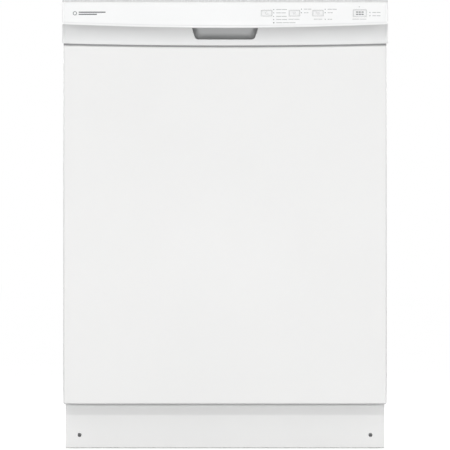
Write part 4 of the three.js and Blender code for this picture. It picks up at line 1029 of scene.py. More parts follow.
MIDDLE_Y = 0.024  # the spray arms' axis
TUB_LO, TUB_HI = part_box("tub")
TUB_IN = 0.272
TUB_FRONT = -0.243
TUB_BACK = 0.288
LEDGE = 0.128
CEILING = 0.812
BASIN_FLOOR = 0.108
FILTER_X, FILTER_Y = 0.092, -0.040
HEATER_Y, HEATER_R, HEATER_Z = 0.016, 0.196, 0.121
FLOAT_X, FLOAT_Y = -0.180, -0.185
HEATER_LEGS = (0.060, 0.084)
TUB_WALL = 0.004
FLANGE = 0.003
# Rings of the tub's hollow from its mouth to its back: the depth, and how far each is drawn in.
CAVITY_RINGS = ((TUB_FRONT - 0.001, 0.0), (-0.2, 0.0), (0.1, 0.0), (TUB_BACK - 0.020, 0.0),
                (TUB_BACK - 0.010, 0.0027), (TUB_BACK - 0.004, 0.008), (TUB_BACK, 0.018))
# Rings of the basin from the ledge down: the height, and how far each is drawn in.
BASIN_RINGS = ((LEDGE + 0.002, -0.002), (LEDGE - 0.001, 0.0005), (0.117, 0.006), (BASIN_FLOOR, 0.013))
# Beads of the seal round the tub's mouth: half its width, its top and the bead's radius.
SEAL_BEADS = ((0.2748, 0.8128, 0.00155), (0.2785, 0.8145, 0.00165), (0.2822, 0.8163, 0.00155))
SEAL_FOOT = 0.1125
SEAL_BEND = 0.012
BLANKET_THICK = 0.0118
BLANKET_BEND = 0.020
STITCH_DEEP, STITCH_WIDE = 0.0045, 0.006
HEM_DEEP, HEM_WIDE = 0.004, 0.004
# Noise on the blanket's face: its scale and its depth.
PUCKERS = ((26, 0.0022), (90, 0.0009))


def upright(x, y, low, high, radius, sides=32):
    return Form().rod((x, y, low), (x, y, high), radius, sides)


def tub():
    """A moulded shell with round corners, a flange, a stepped basin and the holes for what stands in it."""
    low = TUB_LO.z + 0.0002
    shell = rounded_outline(-TUB_IN - TUB_WALL, TUB_IN + TUB_WALL, low + 0.001, CEILING + TUB_WALL, 0.022, 8)
    body = mesh_object(Form().plate(shell, TUB_FRONT + 0.001, TUB_BACK + TUB_WALL), "tub_shell")
    flange = rounded_outline(-0.296, 0.296, TUB_LO.z, TUB_HI.z, 0.006, 4)
    carve(body, [Form().plate(flange, TUB_FRONT, TUB_FRONT + FLANGE)], "UNION")
    rings = []
    for y, shrink in CAVITY_RINGS:
        half = TUB_IN - shrink
        ring = rounded_outline(-half, half, LEDGE + shrink * 0.3, CEILING - shrink, 0.024, 8)
        rings.append([(x, y, z) for x, z in ring])
    cavity = Form().grid(rings, around=True, caps=True)
    steps = []
    for z, inset in BASIN_RINGS:
        ring = rounded_outline(-0.236 + inset, 0.236 - inset, -0.232 + inset, 0.264 - inset, 0.038, 8)
        steps.append([(x, y, z) for x, y in ring])
    basin = Form().grid(steps, around=True, caps=True)
    under, over = low - 0.004, BASIN_FLOOR + 0.004
    holes = [
        upright(0, MIDDLE_Y, under, over, 0.056, 48),
        upright(FILTER_X, FILTER_Y, under, over, 0.046, 48),
        Form().block((0, -0.068, under), (FILTER_X, 0.034, over)),
        upright(FLOAT_X, FLOAT_Y, under, over, 0.006),
        *(upright(x, heater_leg_y(x), under, over, 0.005, 16) for x in HEATER_LEGS),
    ]
    carve(body, [cavity, basin, *holes])
    finish_piece(body, "cabinet", TUB_GREY, ["tub"])


def heater_leg_y(x):
    return HEATER_Y + math.sqrt(HEATER_R ** 2 - x ** 2)


RIDGE_SINK = 0.0006  # how far a bead's foot goes into its wall


def ridge(form, a, b, proud, wide, outward):
    """A soft raised bead from a to b on a wall that faces along outward."""
    start, end = Vector(a), Vector(b)
    normal = Vector(outward)
    across = (end - start).normalized().cross(normal) * wide / 2
    rows = []
    for t in spread(0, 1, 15):
        swell = min(1.0, math.sin(math.pi * t) * 6) ** 0.5 if 0 < t < 1 else 0.05
        point = start.lerp(end, t)
        rows.append([point + across * math.cos(a) + normal * (proud * swell * math.sin(a) - RIDGE_SINK)
                     for a in spread(0, math.pi, 9)])
    form.grid(rows, around=True, caps=True)


def tub_ribs():
    """Pressed beads that stiffen the side and rear walls."""
    form = Form()
    for _, side in SIDES:
        for z in (0.235, 0.355, 0.415, 0.62, 0.70, 0.765):
            ridge(form, (side * TUB_IN, -0.19, z), (side * TUB_IN, 0.235, z), 0.0022, 0.011, (-side, 0, 0))
    for x in (-0.2, -0.13, 0.13, 0.2):
        ridge(form, (x, TUB_BACK, 0.18), (x, TUB_BACK, 0.74), 0.0026, 0.014, (0, -1, 0))
    piece(form, "tub_wall_beads", "cabinet", TUB_GREY)


def tub_rear_ribs():
    """Ribs moulded on the outside of the rear wall: a lattice with two crossed pairs between its uprights."""
    form = Form()
    wall = TUB_BACK + TUB_WALL
    for x in (-0.262, -0.165, -0.07, 0.03, 0.13, 0.23):
        ridge(form, (x, wall, 0.13), (x, wall, 0.795), 0.0026, 0.010, ALONG_Y)
    for z in (0.165, 0.38, 0.60, 0.775):
        ridge(form, (-0.268, wall, z), (0.268, wall, z), 0.0022, 0.010, ALONG_Y)
    for x0, x1 in ((-0.07, 0.03), (0.13, 0.23)):
        for z0, z1 in ((0.165, 0.38), (0.60, 0.775)):
            for low, high in ((z0, z1), (z1, z0)):
                ridge(form, (x0, wall, low), (x1, wall, high), 0.0018, 0.008, ALONG_Y)
    piece(form, "tub_rear_ribs", "cabinet", TUB_GREY)


def tub_gasket():
    """A bulb seal with two lips, up one side of the mouth, over the top and down the other."""
    form = Form()
    lo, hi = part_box("tub_gasket")
    y = middle_of(lo, hi).y
    for out, top, radius in SEAL_BEADS:
        reach, high = out - SEAL_BEND, top - SEAL_BEND
        line = [(-out, SEAL_FOOT), (-out, 0.4), *arc((-reach, high), SEAL_BEND, 180, 90, 8), (0, top),
                *arc((reach, high), SEAL_BEND, 90, 0, 8), (out, 0.4), (out, SEAL_FOOT)]
        form.tube([(x, y, z) for x, z in line], radius, 10)
    piece(form, "tub_mouth_seal", "cabinet", SEAL, ["tub_gasket"])


def blanket_profile(lo, hi):
    """(x, z) points up one side of the tub, over its top and down the other."""
    low_x, high_x, high_z = lo.x + BLANKET_BEND, hi.x - BLANKET_BEND, hi.z - BLANKET_BEND
    profile = [(lo.x, z) for z in spread(lo.z, high_z, 42)]
    profile += arc((low_x, high_z), BLANKET_BEND, 180, 90, 9)[1:]
    profile += [(x, hi.z) for x in spread(low_x, high_x, 44)[1:]]
    profile += arc((high_x, high_z), BLANKET_BEND, 90, 0, 9)[1:]
    return profile + [(hi.x, z) for z in spread(high_z, lo.z, 42)[1:]]


def insulation_blanket():
    """Pressed fibre wrapped over the tub, drawn in along its stitched lines."""
    lo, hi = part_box("insulation_blanket")
    profile = blanket_profile(lo, hi)
    seams = spread(lo.y + 0.012, hi.y - 0.012, 5)
    outer, inner = [], []
    for y in spread(lo.y, hi.y, 60):
        outer_row, inner_row = [], []
        near_seam = min(abs(y - seam) for seam in seams)
        for i, (x, z) in enumerate(profile):
            ahead = profile[min(i + 1, len(profile) - 1)]
            behind = profile[max(i - 1, 0)]
            inward = Vector((ahead[1] - behind[1], 0, behind[0] - ahead[0])).normalized()
            place = Vector((x, y, z))
            edge = min(y - lo.y, hi.y - y, (z - lo.z) if abs(x) > hi.x - 1e-4 else 1)
            sink = 0.0006 + STITCH_DEEP * math.exp(-(near_seam / STITCH_WIDE) ** 2)
            sink += HEM_DEEP * math.exp(-edge / HEM_WIDE)
            for scale, depth in PUCKERS:
                sink += depth * (0.5 + 0.5 * noise.noise(place * scale))
            outer_row.append(place + inward * sink)
            inner_row.append(place + inward * (BLANKET_THICK - 0.0004))
        outer.append(outer_row)
        inner.append(inner_row)
    made = piece(Form().shell(outer, inner), "fibre_blanket", "cabinet", FELT,
                 ["insulation_blanket"], smooth_angle=60)


# ---- Racks ----

RIM_WIRE = 0.0024
CROSS_WIRE = 0.0018
TINE_WIRE = 0.0015
LOWER = {"half": 0.232, "front": -0.213, "back": 0.262, "low": 0.150, "high": 0.290}
UPPER = {"half": 0.245, "front": -0.213, "back": 0.252, "low": 0.470, "high": 0.590}
RACK_CORNER = 0.022
RACK_BEND = 0.014
RACK_FLOOR = 0.0086  # from a rack's underside to the foot of its tines
# Outline of a wheel's axle stub, from the rack outwards: the radius and the distance.
AXLE = ((0, 0), (0.0052, 0), (0.0052, 0.0028), (0.0030, 0.0034), (0.0030, 0.0186), (0.0044, 0.0192),
        (0.0040, 0.0206), (0, 0.0208))
# The hook that carries a wheel: x, the step along y, and the step up from the axle. None is the rack's floor.
WHEEL_HOOK = ((0.2275, -0.012, None), (0.2290, -0.008, 0.008), (0.2295, 0, 0), (0.2290, 0.008, 0.008),
              (0.2275, 0.012, None))
PIPE_Z = 0.4627


def corner_loop(half, front, back, z, shrink):
    """A rounded rectangle of points at one height."""
    outline = rounded_outline(-half + shrink, half - shrink, front + shrink, back - shrink, RACK_CORNER, 7)
    return [(x, y, z) for x, y in outline]


def u_bend(a, b, low, high):
    """(along, z) points of a wire that drops from the rim, crosses the floor and climbs again."""
    left = arc((a + RACK_BEND, low + RACK_BEND), RACK_BEND, 180, 270, 5)
    right = arc((b - RACK_BEND, low + RACK_BEND), RACK_BEND, 270, 360, 5)
    return [(a, high), *left, *right, (b, high)]


def wire_basket(form, half, front, back, low, high, across, along):
    """Round wires welded to a rim and a middle hoop, bent up from the floor."""
    rim_z = high - RIM_WIRE
    hoops = ((rim_z, RIM_WIRE, RIM_WIRE, 10), (lerp(low, high, 0.5), RIM_WIRE, CROSS_WIRE, 8),
             (low + 0.004, 0.014, RIM_WIRE, 10))
    for z, shrink, wire, sides in hoops:
        form.tube(corner_loop(half, front, back, z, shrink), wire, sides, closed=True)
    inset = 2 * RIM_WIRE + CROSS_WIRE * 0.5
    for y in spread(front + 0.026, back - 0.026, along):
        line = u_bend(-half + inset, half - inset, low + CROSS_WIRE, rim_z)
        form.tube([(x, y, z) for x, z in line], CROSS_WIRE, 8)
    for x in spread(-half + 0.028, half - 0.028, across):
        line = u_bend(front + inset, back - inset, low + 3 * CROSS_WIRE, rim_z)
        form.tube([(x, y, z) for y, z in line], CROSS_WIRE, 8)


TINE_TIP = (TINE_WIRE, TINE_WIRE, TINE_WIRE, TINE_WIRE * 0.7, TINE_WIRE * 0.2)


def tine_row(form, xs, y, low, tall, lean):
    """A row of pegs with round tips on a carrier wire."""
    high = low + tall
    for x in xs:
        path = [(x, y, low), (x, y + lean * 0.5, middle_of(low, high))]
        path += [(x, y + lean, z) for z in (high - 0.001, high, high + 0.0006)]
        form.tube(path, TINE_TIP, 7)
    form.rod((xs[0] - 0.008, y, low), (xs[-1] + 0.008, y, low), TINE_WIRE, 8)


def lower_rack():
    form = Form()
    wire_basket(form, **LOWER, across=12, along=12)
    for y in spread(-0.165, 0.215, 6):
        end, count = (0.110, 11) if y < 0.045 else (0.200, 15)
        tine_row(form, spread(-0.200, end, count), y, LOWER["low"] + RACK_FLOOR, 0.074, 0.006)
    for name, side in SIDES:
        for corner in ("front", "rear"):
            lo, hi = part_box(f"wheel_{corner}_{name}")
            y, z = middle_of(lo, hi).yz
            top = LOWER["low"] + 0.03
            hook = [(side * x, y + dy, top if dz is None else z + dz) for x, dy, dz in WHEEL_HOOK]
            form.tube(catmull(hook, 5), CROSS_WIRE, 8)
            form.lathe(AXLE, (side * 0.2292, y, z), (side, 0, 0), 20)
    piece(form, "lower_rack_wires", "lower_rack", RACK_BLUE, ["lower_rack"])


def rack_wheel(corner, name):
    """A roller with a rounded tread, five ribs and a hub."""
    node = f"wheel_{corner}_{name}"
    lo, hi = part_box(node)
    radius = (hi.z - lo.z) / 2
    half = (hi.x - lo.x) / 2
    centre = middle_of(lo, hi)
    tread = [(radius - 0.0032, -half), (radius - 0.0008, -half), (radius, -half + 0.0010),
             (radius, half - 0.0010), (radius - 0.0008, half), (radius - 0.0032, half)]
    hub = [(0.0034, -half), (0.0062, -half), (0.0062, half), (0.0034, half)]
    web = [(0.0060, -0.0008), (radius - 0.003, -0.0008), (radius - 0.003, 0.0008), (0.0060, 0.0008)]
    form = Form()
    for outline, sides in ((tread, 40), (hub, 28), (web, 28)):
        form.lathe(outline, centre, ALONG_X, sides, closed=True)
    form.ribs(centre, (ALONG_Y, ALONG_Z), 5, (0.006, radius - 0.003), 0.0009, (-half * 0.8, half * 0.8))
    piece(form, f"roller_{corner}_{name}", node, MID_GREY, [node])


def upper_rack():
    form = Form()
    wire_basket(form, **UPPER, across=13, along=11)
    for y in (-0.150, -0.060, 0.105, 0.190):
        for start, end in ((-0.205, -0.035), (0.035, 0.205)):
            tine_row(form, spread(start, end, 7), y, UPPER["low"] + RACK_FLOOR, 0.048, 0.012)
    piece(form, "upper_rack_wires", "upper_rack", RACK_BLUE, ["upper_rack"])
    for name, side in SIDES:
        slide = Form()
        section = [(-0.206, 0.525), (-0.202, 0.524), (0.240, 0.524), (0.244, 0.525), (0.244, 0.537),
                   (0.240, 0.538), (-0.202, 0.538), (-0.206, 0.537)]
        slide.side_bar(section, side * 0.2575, side * 0.2665)
        for y in (-0.15, 0.0, 0.15):
            near, far = y - 0.012, y + 0.012
            pad = [(near, 0.527), (far, 0.527), (far, 0.535), (near, 0.535)]
            slide.side_bar(pad, side * 0.2435, side * 0.2578)
        piece(slide, f"upper_rack_slide_{name}", "upper_rack", PALE_GREY, edge=0.0006)
    pipe = Form()
    dock = 0.2640
    pipe.tube(catmull([(0, y, PIPE_Z) for y in (dock, 0.2, 0.1, 0.045, MIDDLE_Y)], 4), 0.0060, 14)
    cone = [(0.0075, 0), (0.0086, 0.0010), (0.0086, 0.010), (0.0070, 0.0115)]
    pipe.lathe(cone, (0, dock, 0.4652), (0, -1, 0), 24)
    pipe.lathe([(0, 0.0), (0.012, 0.0), (0.012, 0.010), (0.009, 0.013), (0, 0.013)], (0, MIDDLE_Y, 0.4568),
               ALONG_Z, 28)
    for y in (0.075, 0.17):
        pipe.block((-0.009, y, 0.4660), (0.009, y + 0.008, 0.4730))
    piece(pipe, "upper_arm_pipe", "upper_rack", PALE_GREY)
    grips = Form()
    front = UPPER["front"]
    for x in (-0.12, 0.12):
        grips.block((x - 0.035, front + 0.0002, 0.5735), (x + 0.035, front + 0.0062, 0.5898), 0.004)
    piece(grips, "upper_rack_grips", "upper_rack", PALE_GREY, edge=0.0008)


def silverware_basket():
    """Open slats between bands, in three cells, with a carrying arch."""
    lo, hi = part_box("silverware_basket")
    rim_z = 0.262
    wall = 0.0021
    slat = 0.0024
    cells = 3
    pitch = (hi.y - lo.y - wall) / cells
    walls_y = [lo.y + i * pitch for i in range(cells + 1)]
    walls_x = (lo.x, hi.x - wall)
    form = Form()
    for z, tall in ((lo.z, 0.006), (lo.z + 0.048, 0.004), (rim_z - 0.007, 0.007)):
        for y in walls_y:
            form.block((lo.x, y, z), (hi.x, y + wall, z + tall))
        for x in walls_x:
            form.block((x, lo.y, z), (x + wall, hi.y, z + tall))
    low, high = lo.z + 0.003, rim_z - 0.003
    for y in walls_y:
        for x in spread(lo.x, hi.x - slat, 13):
            form.block((x, y + 0.0002, low), (x + slat, y + wall - 0.0002, high))
    for x in walls_x:
        for y in spread(lo.y, hi.y - slat, 28):
            form.block((x + 0.0002, y, low), (x + wall - 0.0002, y + slat, high))
    for x in spread(lo.x + 0.008, hi.x - 0.010, 9):
        form.block((x, lo.y + 0.001, lo.z), (x + slat, hi.y - 0.001, lo.z + 0.0022))
    for y in spread(lo.y + 0.008, hi.y - 0.010, 20):
        form.block((lo.x + 0.001, y, lo.z + 0.0003), (hi.x - 0.001, y + slat, lo.z + 0.0024))
    a, b = walls_y[1] + wall / 2, walls_y[2] + wall / 2
    arch = [(a, rim_z - 0.028), (a, rim_z + 0.008), (a + 0.012, hi.z - 0.0062),
            (middle_of(a, b), hi.z - 0.0052), (b - 0.012, hi.z - 0.0062), (b, rim_z + 0.008),
            (b, rim_z - 0.028)]
    form.tube(catmull([(middle_of(lo, hi).x, y, z) for y, z in arch], 6), 0.0046, 14)
    piece(form, "cutlery_basket", "silverware_basket", PALE_GREY, ["silverware_basket"])


# ---- Spray arms, filter and heat ----

ARM_JETS = (0.052, 0.084, 0.118, 0.150, 0.182, 0.206)
JET = ((0.0034, -0.0018), (0.0028, 0.0), (0.0012, 0.0003), (0.0012, -0.0012), (0, -0.0012))
SCREEN_REACH = 0.1645
SCREEN_START = 0.006
SCREEN_RINGS, SCREEN_SECTORS = 35, 168
CUP_RADIUS = 0.0357
CUP_SLATS = 60
HEATER_WIRE = 0.0039


def spray_arm(name, reach, low, high, hub):
    """A hollow blade with a domed back, nozzles along it and a fluted hub."""
    form = Form()
    rows = []
    for t in spread(-1, 1, 49):
        x = reach * t
        taper = abs(t)
        half = lerp(0.0235, 0.0145, smooth_step(0.15, 0.95, taper))
        end = math.sqrt(max(0.0, 1 - max(0.0, (taper - 0.95) / 0.05) ** 2))
        half *= max(end, 0.08)
        belly = lerp(0.5, 0.35, taper)
        row = []
        for angle in turns(24):
            y = half * math.copysign(abs(math.cos(angle)) ** 0.75, math.cos(angle))
            rise = math.sin(angle)
            tall = (high - low) * ((1 - belly) if rise > 0 else belly) * max(end, 0.3)
            row.append((x, MIDDLE_Y + y, low + (high - low) * belly + rise * tall))
        rows.append(row)
    form.grid(rows, around=True, caps=True)
    form.lathe(hub, (0, MIDDLE_Y, 0), ALONG_Z, 40)
    piece(form, f"{name}_blade", name, PALE_GREY, [name])
    jets = Form()
    for side in (-1, 1):
        for i, x in enumerate(ARM_JETS):
            offset = (0.006, -0.005)[i % 2] * side * (1 - 0.4 * x / reach)
            crown = high - 0.0006 - 0.0022 * (offset / 0.0145) ** 2
            jets.lathe(JET, (side * x, MIDDLE_Y + offset, crown), ALONG_Z, 16)
    piece(jets, f"{name}_jets", name, DARK)


def spray_arms():
    lo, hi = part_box("lower_spray_arm")
    hub = [(0.0152, lo.z), (0.0218, lo.z), (0.0220, 0.1300), (0.0240, 0.1330), (0.0200, hi.z - 0.003),
           (0.0185, hi.z - 0.0008), (0.0140, hi.z), (0, hi.z)]
    spray_arm("lower_spray_arm", 0.2195, 0.1302, 0.1418, hub)
    lo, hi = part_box("upper_spray_arm")
    hub = [(0, lo.z), (0.014, lo.z), (0.0195, lo.z + 0.0012), (0.0200, lo.z + 0.004), (0.0225, 0.4500),
           (0.0180, hi.z - 0.0002), (0, hi.z - 0.0001)]
    spray_arm("upper_spray_arm", 0.2145, 0.4462, 0.4558, hub)


def filter_plate():
    """A drawn steel disc with rows of small holes, a rolled rim, and collars for the cup and the post."""
    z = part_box("filter_plate")[LOW].z + 0.0008
    cup, post = Vector((FILTER_X, FILTER_Y, 0)), Vector((0, MIDDLE_Y, 0))
    form = Form()
    places = {}

    def spot(ring, sector, height):
        radius = lerp(SCREEN_START, SCREEN_REACH, ring / SCREEN_RINGS)
        angle = FULL_TURN * sector / SCREEN_SECTORS
        return Vector((radius * math.cos(angle), HEATER_Y + radius * math.sin(angle), height))

    def corner(i, j):
        key = (i, j % SCREEN_SECTORS)
        if key not in places:
            places[key] = len(form.points)
            form.points.append(spot(i, key[1] + 0.5 * (i % 4 > 1), z))
        return places[key]

    for i in range(SCREEN_RINGS):
        radius = lerp(SCREEN_START, SCREEN_REACH, (i + 0.5) / SCREEN_RINGS)
        for j in range(SCREEN_SECTORS):
            middle = spot(i + 0.5, j + 0.5, 0)
            to_cup, to_post = (middle - cup).length, (middle - post).length
            if to_cup < 0.0385 or to_post < 0.0175:
                continue
            plain = radius < 0.035 or to_cup < 0.043 or to_post < 0.024 or i > SCREEN_RINGS - 3
            if not plain and i % 2 == 0 and j % (2 if radius > 0.07 else 4) == 0:
                continue
            form.faces.append((corner(i, j), corner(i, j + 1), corner(i + 1, j + 1), corner(i + 1, j)))
    made = mesh_object(form, "filter_screen", 40)
    walled(made, 0.0007, 0)
    finish_piece(made, "cabinet", FILTER_STEEL, ["filter_plate"])
    collars = Form()
    for x, y, radius in ((0, HEATER_Y, 0.1638), (FILTER_X, FILTER_Y, 0.0382), (0, MIDDLE_Y, 0.0172)):
        ring = [(x + u, y + v, z + 0.0004) for u, v in circle(radius, 72)]
        collars.tube(ring, 0.0011, 8, closed=True)
    piece(collars, "filter_screen_rims", "cabinet", FILTER_STEEL)


def filter_cup():
    """A fine basket: slats between bands, a floor, a flanged top ring and a bridge to turn it by."""
    lo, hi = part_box("filter_cup")
    centre = (FILTER_X, FILTER_Y, 0)
    inside = CUP_RADIUS - 0.0024
    form = Form()
    for z0, z1 in ((lo.z, lo.z + 0.006), (lo.z + 0.026, lo.z + 0.029), (0.104, 0.1145)):
        band = [(inside, z0), (CUP_RADIUS, z0), (CUP_RADIUS, z1), (inside, z1)]
        form.lathe(band, centre, ALONG_Z, CUP_SLATS, closed=True)
    bottom = CUP_RADIUS - 0.002
    disc = [(0, lo.z), (bottom, lo.z), (bottom, lo.z + 0.002), (0, lo.z + 0.002)]
    form.lathe(disc, centre, ALONG_Z, CUP_SLATS)
    form.ribs(centre, (ALONG_X, ALONG_Y), CUP_SLATS, (CUP_RADIUS - 0.0018, CUP_RADIUS - 0.0004), 0.0007,
              (lo.z + 0.004, 0.106))
    arch = ((-0.0335, 0.1085), (-0.026, 0.1150), (0, hi.z - 0.0032), (0.026, 0.1150), (0.0335, 0.1085))
    form.tube(catmull([(FILTER_X + x, FILTER_Y, z) for x, z in arch], 7), 0.0031, 14)
    piece(form, "filter_cup_basket", "filter_cup", MID_GREY, ["filter_cup"])


def heating_element():
    """A round bar whose two ends turn down through the floor, on spring clips."""
    def on_ring(angle):
        return (HEATER_R * math.cos(angle), HEATER_Y + HEATER_R * math.sin(angle), HEATER_Z)

    near, far = (math.acos(x / HEATER_R) for x in HEATER_LEGS)
    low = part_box("heating_element")[LOW].z
    loop = [on_ring(a) for a in spread(near + 0.02, far - 0.02 + FULL_TURN, 120)]
    start, end = ([(x, heater_leg_y(x), z) for z in (low, 0.112)] for x in HEATER_LEGS)
    form = Form().tube([*start, *loop, *reversed(end)], HEATER_WIRE, 12)
    piece(form, "heater_bar", "cabinet", HEATER, ["heating_element"])
    clips = Form()
    for degrees in (200, 320, 130):
        angle = math.radians(degrees)
        x, y, _ = on_ring(angle)
        clips.rod((x, y, BASIN_FLOOR + 0.0002), (x, y, HEATER_Z - 0.0035), 0.0022, 12)
        out = Vector((math.cos(angle), math.sin(angle), 0))
        ring = arc((0, HEATER_Z), 0.0046, -210, 30, 12)
        clips.tube([Vector((x, y, w)) + out * u for u, w in ring], 0.0009, 8)
    piece(clips, "heater_clips", "cabinet", ZINC)


def overfill_float():
    lo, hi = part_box("overfill_float")
    dome = [(0, lo.z), (0.0038, lo.z), (0.0038, 0.1184), (0.0168, 0.1184), (0.0176, 0.1192), (0.0178, 0.1270)]
    dome += [(0.0178 - 0.0075 + r, z) for r, z in arc((0, hi.z - 0.0077), 0.0075, 0, 90, 7)]
    form = Form().lathe([*dome, (0.004, hi.z - 0.0002), (0, hi.z)], (FLOAT_X, FLOAT_Y, 0), ALONG_Z, 36)
    piece(form, "float_dome", "overfill_float", PALE_GREY, ["overfill_float"])


def feed_tube():
    """Up the rear wall, forward along the ceiling and down to a nozzle, held by saddles."""
    y = 0.279
    z = 0.803
    path = [*((0, y, up) for up in (LEDGE + 0.003, 0.3, 0.6, 0.76)), (0, y - 0.006, 0.788), (0, y - 0.026, z),
            (0, 0.2, z), (0, 0.1, z), (0, MIDDLE_Y - 0.004, z)]
    form = Form().tube(catmull(path, 8), 0.0078, 18)
    nozzle = [(0, 0.7812), (0.012, 0.7815), (0.021, 0.7830), (0.0255, 0.7860), (0.0258, 0.7900),
              (0.0180, 0.8000), (0.0100, 0.8030), (0, 0.8030)]
    form.lathe(nozzle, (0, MIDDLE_Y, 0), ALONG_Z, 36)
    socket = [(0, 0.0), (0.0050, 0.0), (0.0064, 0.0015), (0.0068, 0.014), (0, 0.014)]
    form.lathe(socket, (0, 0.2652, 0.462), ALONG_Y, 24)
    piece(form, "feed_pipe", "cabinet", PALE_GREY, ["feed_tube"])
    holes = Form()
    hole = [(0, 0), (0.0013, 0), (0.0016, 0.0012), (0, 0.0012)]
    for u, v in circle(0.0150, 8):
        holes.lathe(hole, (u, MIDDLE_Y + v, 0.7816), ALONG_Z, 10)
    piece(holes, "ceiling_nozzle_holes", "cabinet", DARK)
    saddles = Form()
    for height in (0.24, 0.42, 0.62):
        ring = [(u, y + w, height) for u, w in arc((0, 0), 0.0088, -200, 20, 12)]
        saddles.tube([(-0.0088, TUB_BACK, height), *ring, (0.0088, TUB_BACK, height)], 0.0012, 8)
    piece(saddles, "feed_pipe_saddles", "cabinet", ZINC)


# ---- Inside of the door ----

LINER_FIELD = -0.259  # depth of the liner's recessed field


def liner_mouldings():
    """Raised borders and ribs on the liner's recessed field, and the screws round it."""
    form = Form()
    for z0, z1 in ((0.150, 0.300), (0.455, 0.575), (0.700, 0.780)):
        outline = rounded_outline(-0.235, 0.235, z0, z1, 0.016, 7)
        form.tube([(x, LINER_FIELD + 0.0004, z) for x, z in outline], 0.0019, 8, closed=True)
    for x in spread(-0.18, 0.18, 7):
        ridge(form, (x, LINER_FIELD, 0.170), (x, LINER_FIELD, 0.280), 0.0016, 0.009, ALONG_Y)
    for z in (0.49, 0.515, 0.54):
        ridge(form, (-0.2, LINER_FIELD, z), (0.2, LINER_FIELD, z), 0.0014, 0.008, ALONG_Y)
    piece(form, "liner_mouldings", "door", LINER_GREY)
    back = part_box("door_liner")[HIGH].y
    crown = [(0.0044, -0.0004), (0.0042, 0.0006), (0.0030, 0.0014), (0.0012, 0.0017), (0.0012, 0.0008),
             (0, 0.0008)]
    screws = Form()
    for x in (-0.277, 0.277):
        for z in (0.16, 0.38, 0.60, 0.80):
            screws.lathe(crown, (x, back, z), ALONG_Y, 20)
    piece(screws, "liner_screws", "door", SCREW_STEEL)


def dispenser_details():
    """The cover's finger ridges, its spring catch and the level lines in the cup."""
    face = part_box("dispenser_body")[HIGH].y
    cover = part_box("dispenser_cover")[HIGH]
    grip = Form()
    for i in range(4):
        z = cover.z - 0.008 - i * 0.0032
        ridge(grip, (-0.062, cover.y, z), (-0.032, cover.y, z), 0.0009, 0.0016, ALONG_Y)
    piece(grip, "dispenser_cover_grip", "dispenser_cover", MID_GREY)
    catch = Form()
    catch.block((-0.052, face - 0.0005, cover.z + 0.0012), (-0.042, face + 0.0022, cover.z + 0.0090), 0.002)
    piece(catch, "dispenser_catch", "door", DARK, edge=0.0004)
    lines = Form()
    for i, length in enumerate((0.014, 0.020, 0.026)):
        z = 0.352 + i * 0.012
        lines.block((-0.077, face - 0.0232, z), (-0.077 + length, face - 0.0226, z + 0.0009))
    piece(lines, "dispenser_level_lines", "door", DARK)


# Rings of the rinse aid cap from its foot: share of the radius and of the height. The full ones are fluted.
CAP_RINGS = ((0.0, 0.0), (1.0, 0.0), (1.0, 0.62), (0.96, 0.74), (0.86, 0.80), (0.0, 0.80))
CAP_FLUTE = 0.03


def rinse_cap():
    """A fluted cap with a bar to turn it by."""
    lo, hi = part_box("rinse_aid_cap")
    centre = Vector((middle_of(lo, hi).x, lo.y, middle_of(lo, hi).z))
    radius = (hi.x - lo.x) / 2
    deep = hi.y - lo.y
    rows = []
    for reach, height in CAP_RINGS:
        flute = CAP_FLUTE if reach == 1.0 else 0.0
        rows.append([centre + Vector((math.cos(a), 0, math.sin(a))) * radius * reach * (1 - flute * (i % 2))
                     + Vector((0, deep * height, 0)) for i, a in enumerate(turns(64))])
    cap = Form().grid(rows, around=True)
    bar = Vector((radius * 0.78, 0, 0.0021))
    cap.block(centre - bar + Vector((0, deep * 0.75, 0)), centre + bar + Vector((0, deep, 0)), 0.0018)
    piece(cap, "rinse_cap_knob", "rinse_aid_cap", CAP_BLUE, ["rinse_aid_cap"])


# Outlines of the vent, as shares of its radius and its depth.
VENT_RING = ((0.86, 0), (0.92, 0), (1, 0.55), (1, 0.8), (0.97, 1), (0.88, 1), (0.86, 0.7))
VENT_SLATS = (0.74, 0.60, 0.46, 0.32)
SLAT_WIDE = 0.09
SLAT_THICK = 0.0012


def door_vent():
    """A round louvre: an outer ring, a hub and slanted rings between them on four spokes."""
    lo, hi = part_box("door_vent")
    centre = Vector((middle_of(lo, hi).x, lo.y, middle_of(lo, hi).z))
    radius = (hi.x - lo.x) / 2
    deep = hi.y - lo.y
    form = Form().lathe([(radius * r, deep * y) for r, y in VENT_RING], centre, ALONG_Y, 56, closed=True)
    for reach in VENT_SLATS:
        near, far = radius * reach, radius * (reach + SLAT_WIDE)
        slat = [(near, deep * 0.25), (far, deep * 0.85), (far - SLAT_THICK, deep * 0.92),
                (near - SLAT_THICK, deep * 0.3)]
        form.lathe(slat, centre, ALONG_Y, 48, closed=True)
    hub = [(0, 0.001), (radius * 0.2, 0.001), (radius * 0.2, deep * 0.9), (radius * 0.12, deep * 0.98),
           (0, deep)]
    form.lathe(hub, centre, ALONG_Y, 32)
    middle = centre + Vector((0, deep * 0.45, 0))
    for degrees in (45, 135):
        out = Vector((math.cos(math.radians(degrees)), 0, math.sin(math.radians(degrees)))) * radius * 0.9
        form.rod(middle + out, middle - out, deep * 0.22, 8)
    form.lathe([(0, 0), (radius * 0.9, 0), (radius * 0.9, 0.0008), (0, 0.0008)], centre, ALONG_Y, 40)
    piece(form, "door_vent_louvre", "door", PALE_GREY, ["door_vent"])


# Raised pads on the control module: x, width and height.
MODULE_PADS = ((0.09, 0.022, 0.016), (0.13, 0.016, 0.012), (0.17, 0.030, 0.018), (0.22, 0.014, 0.014))


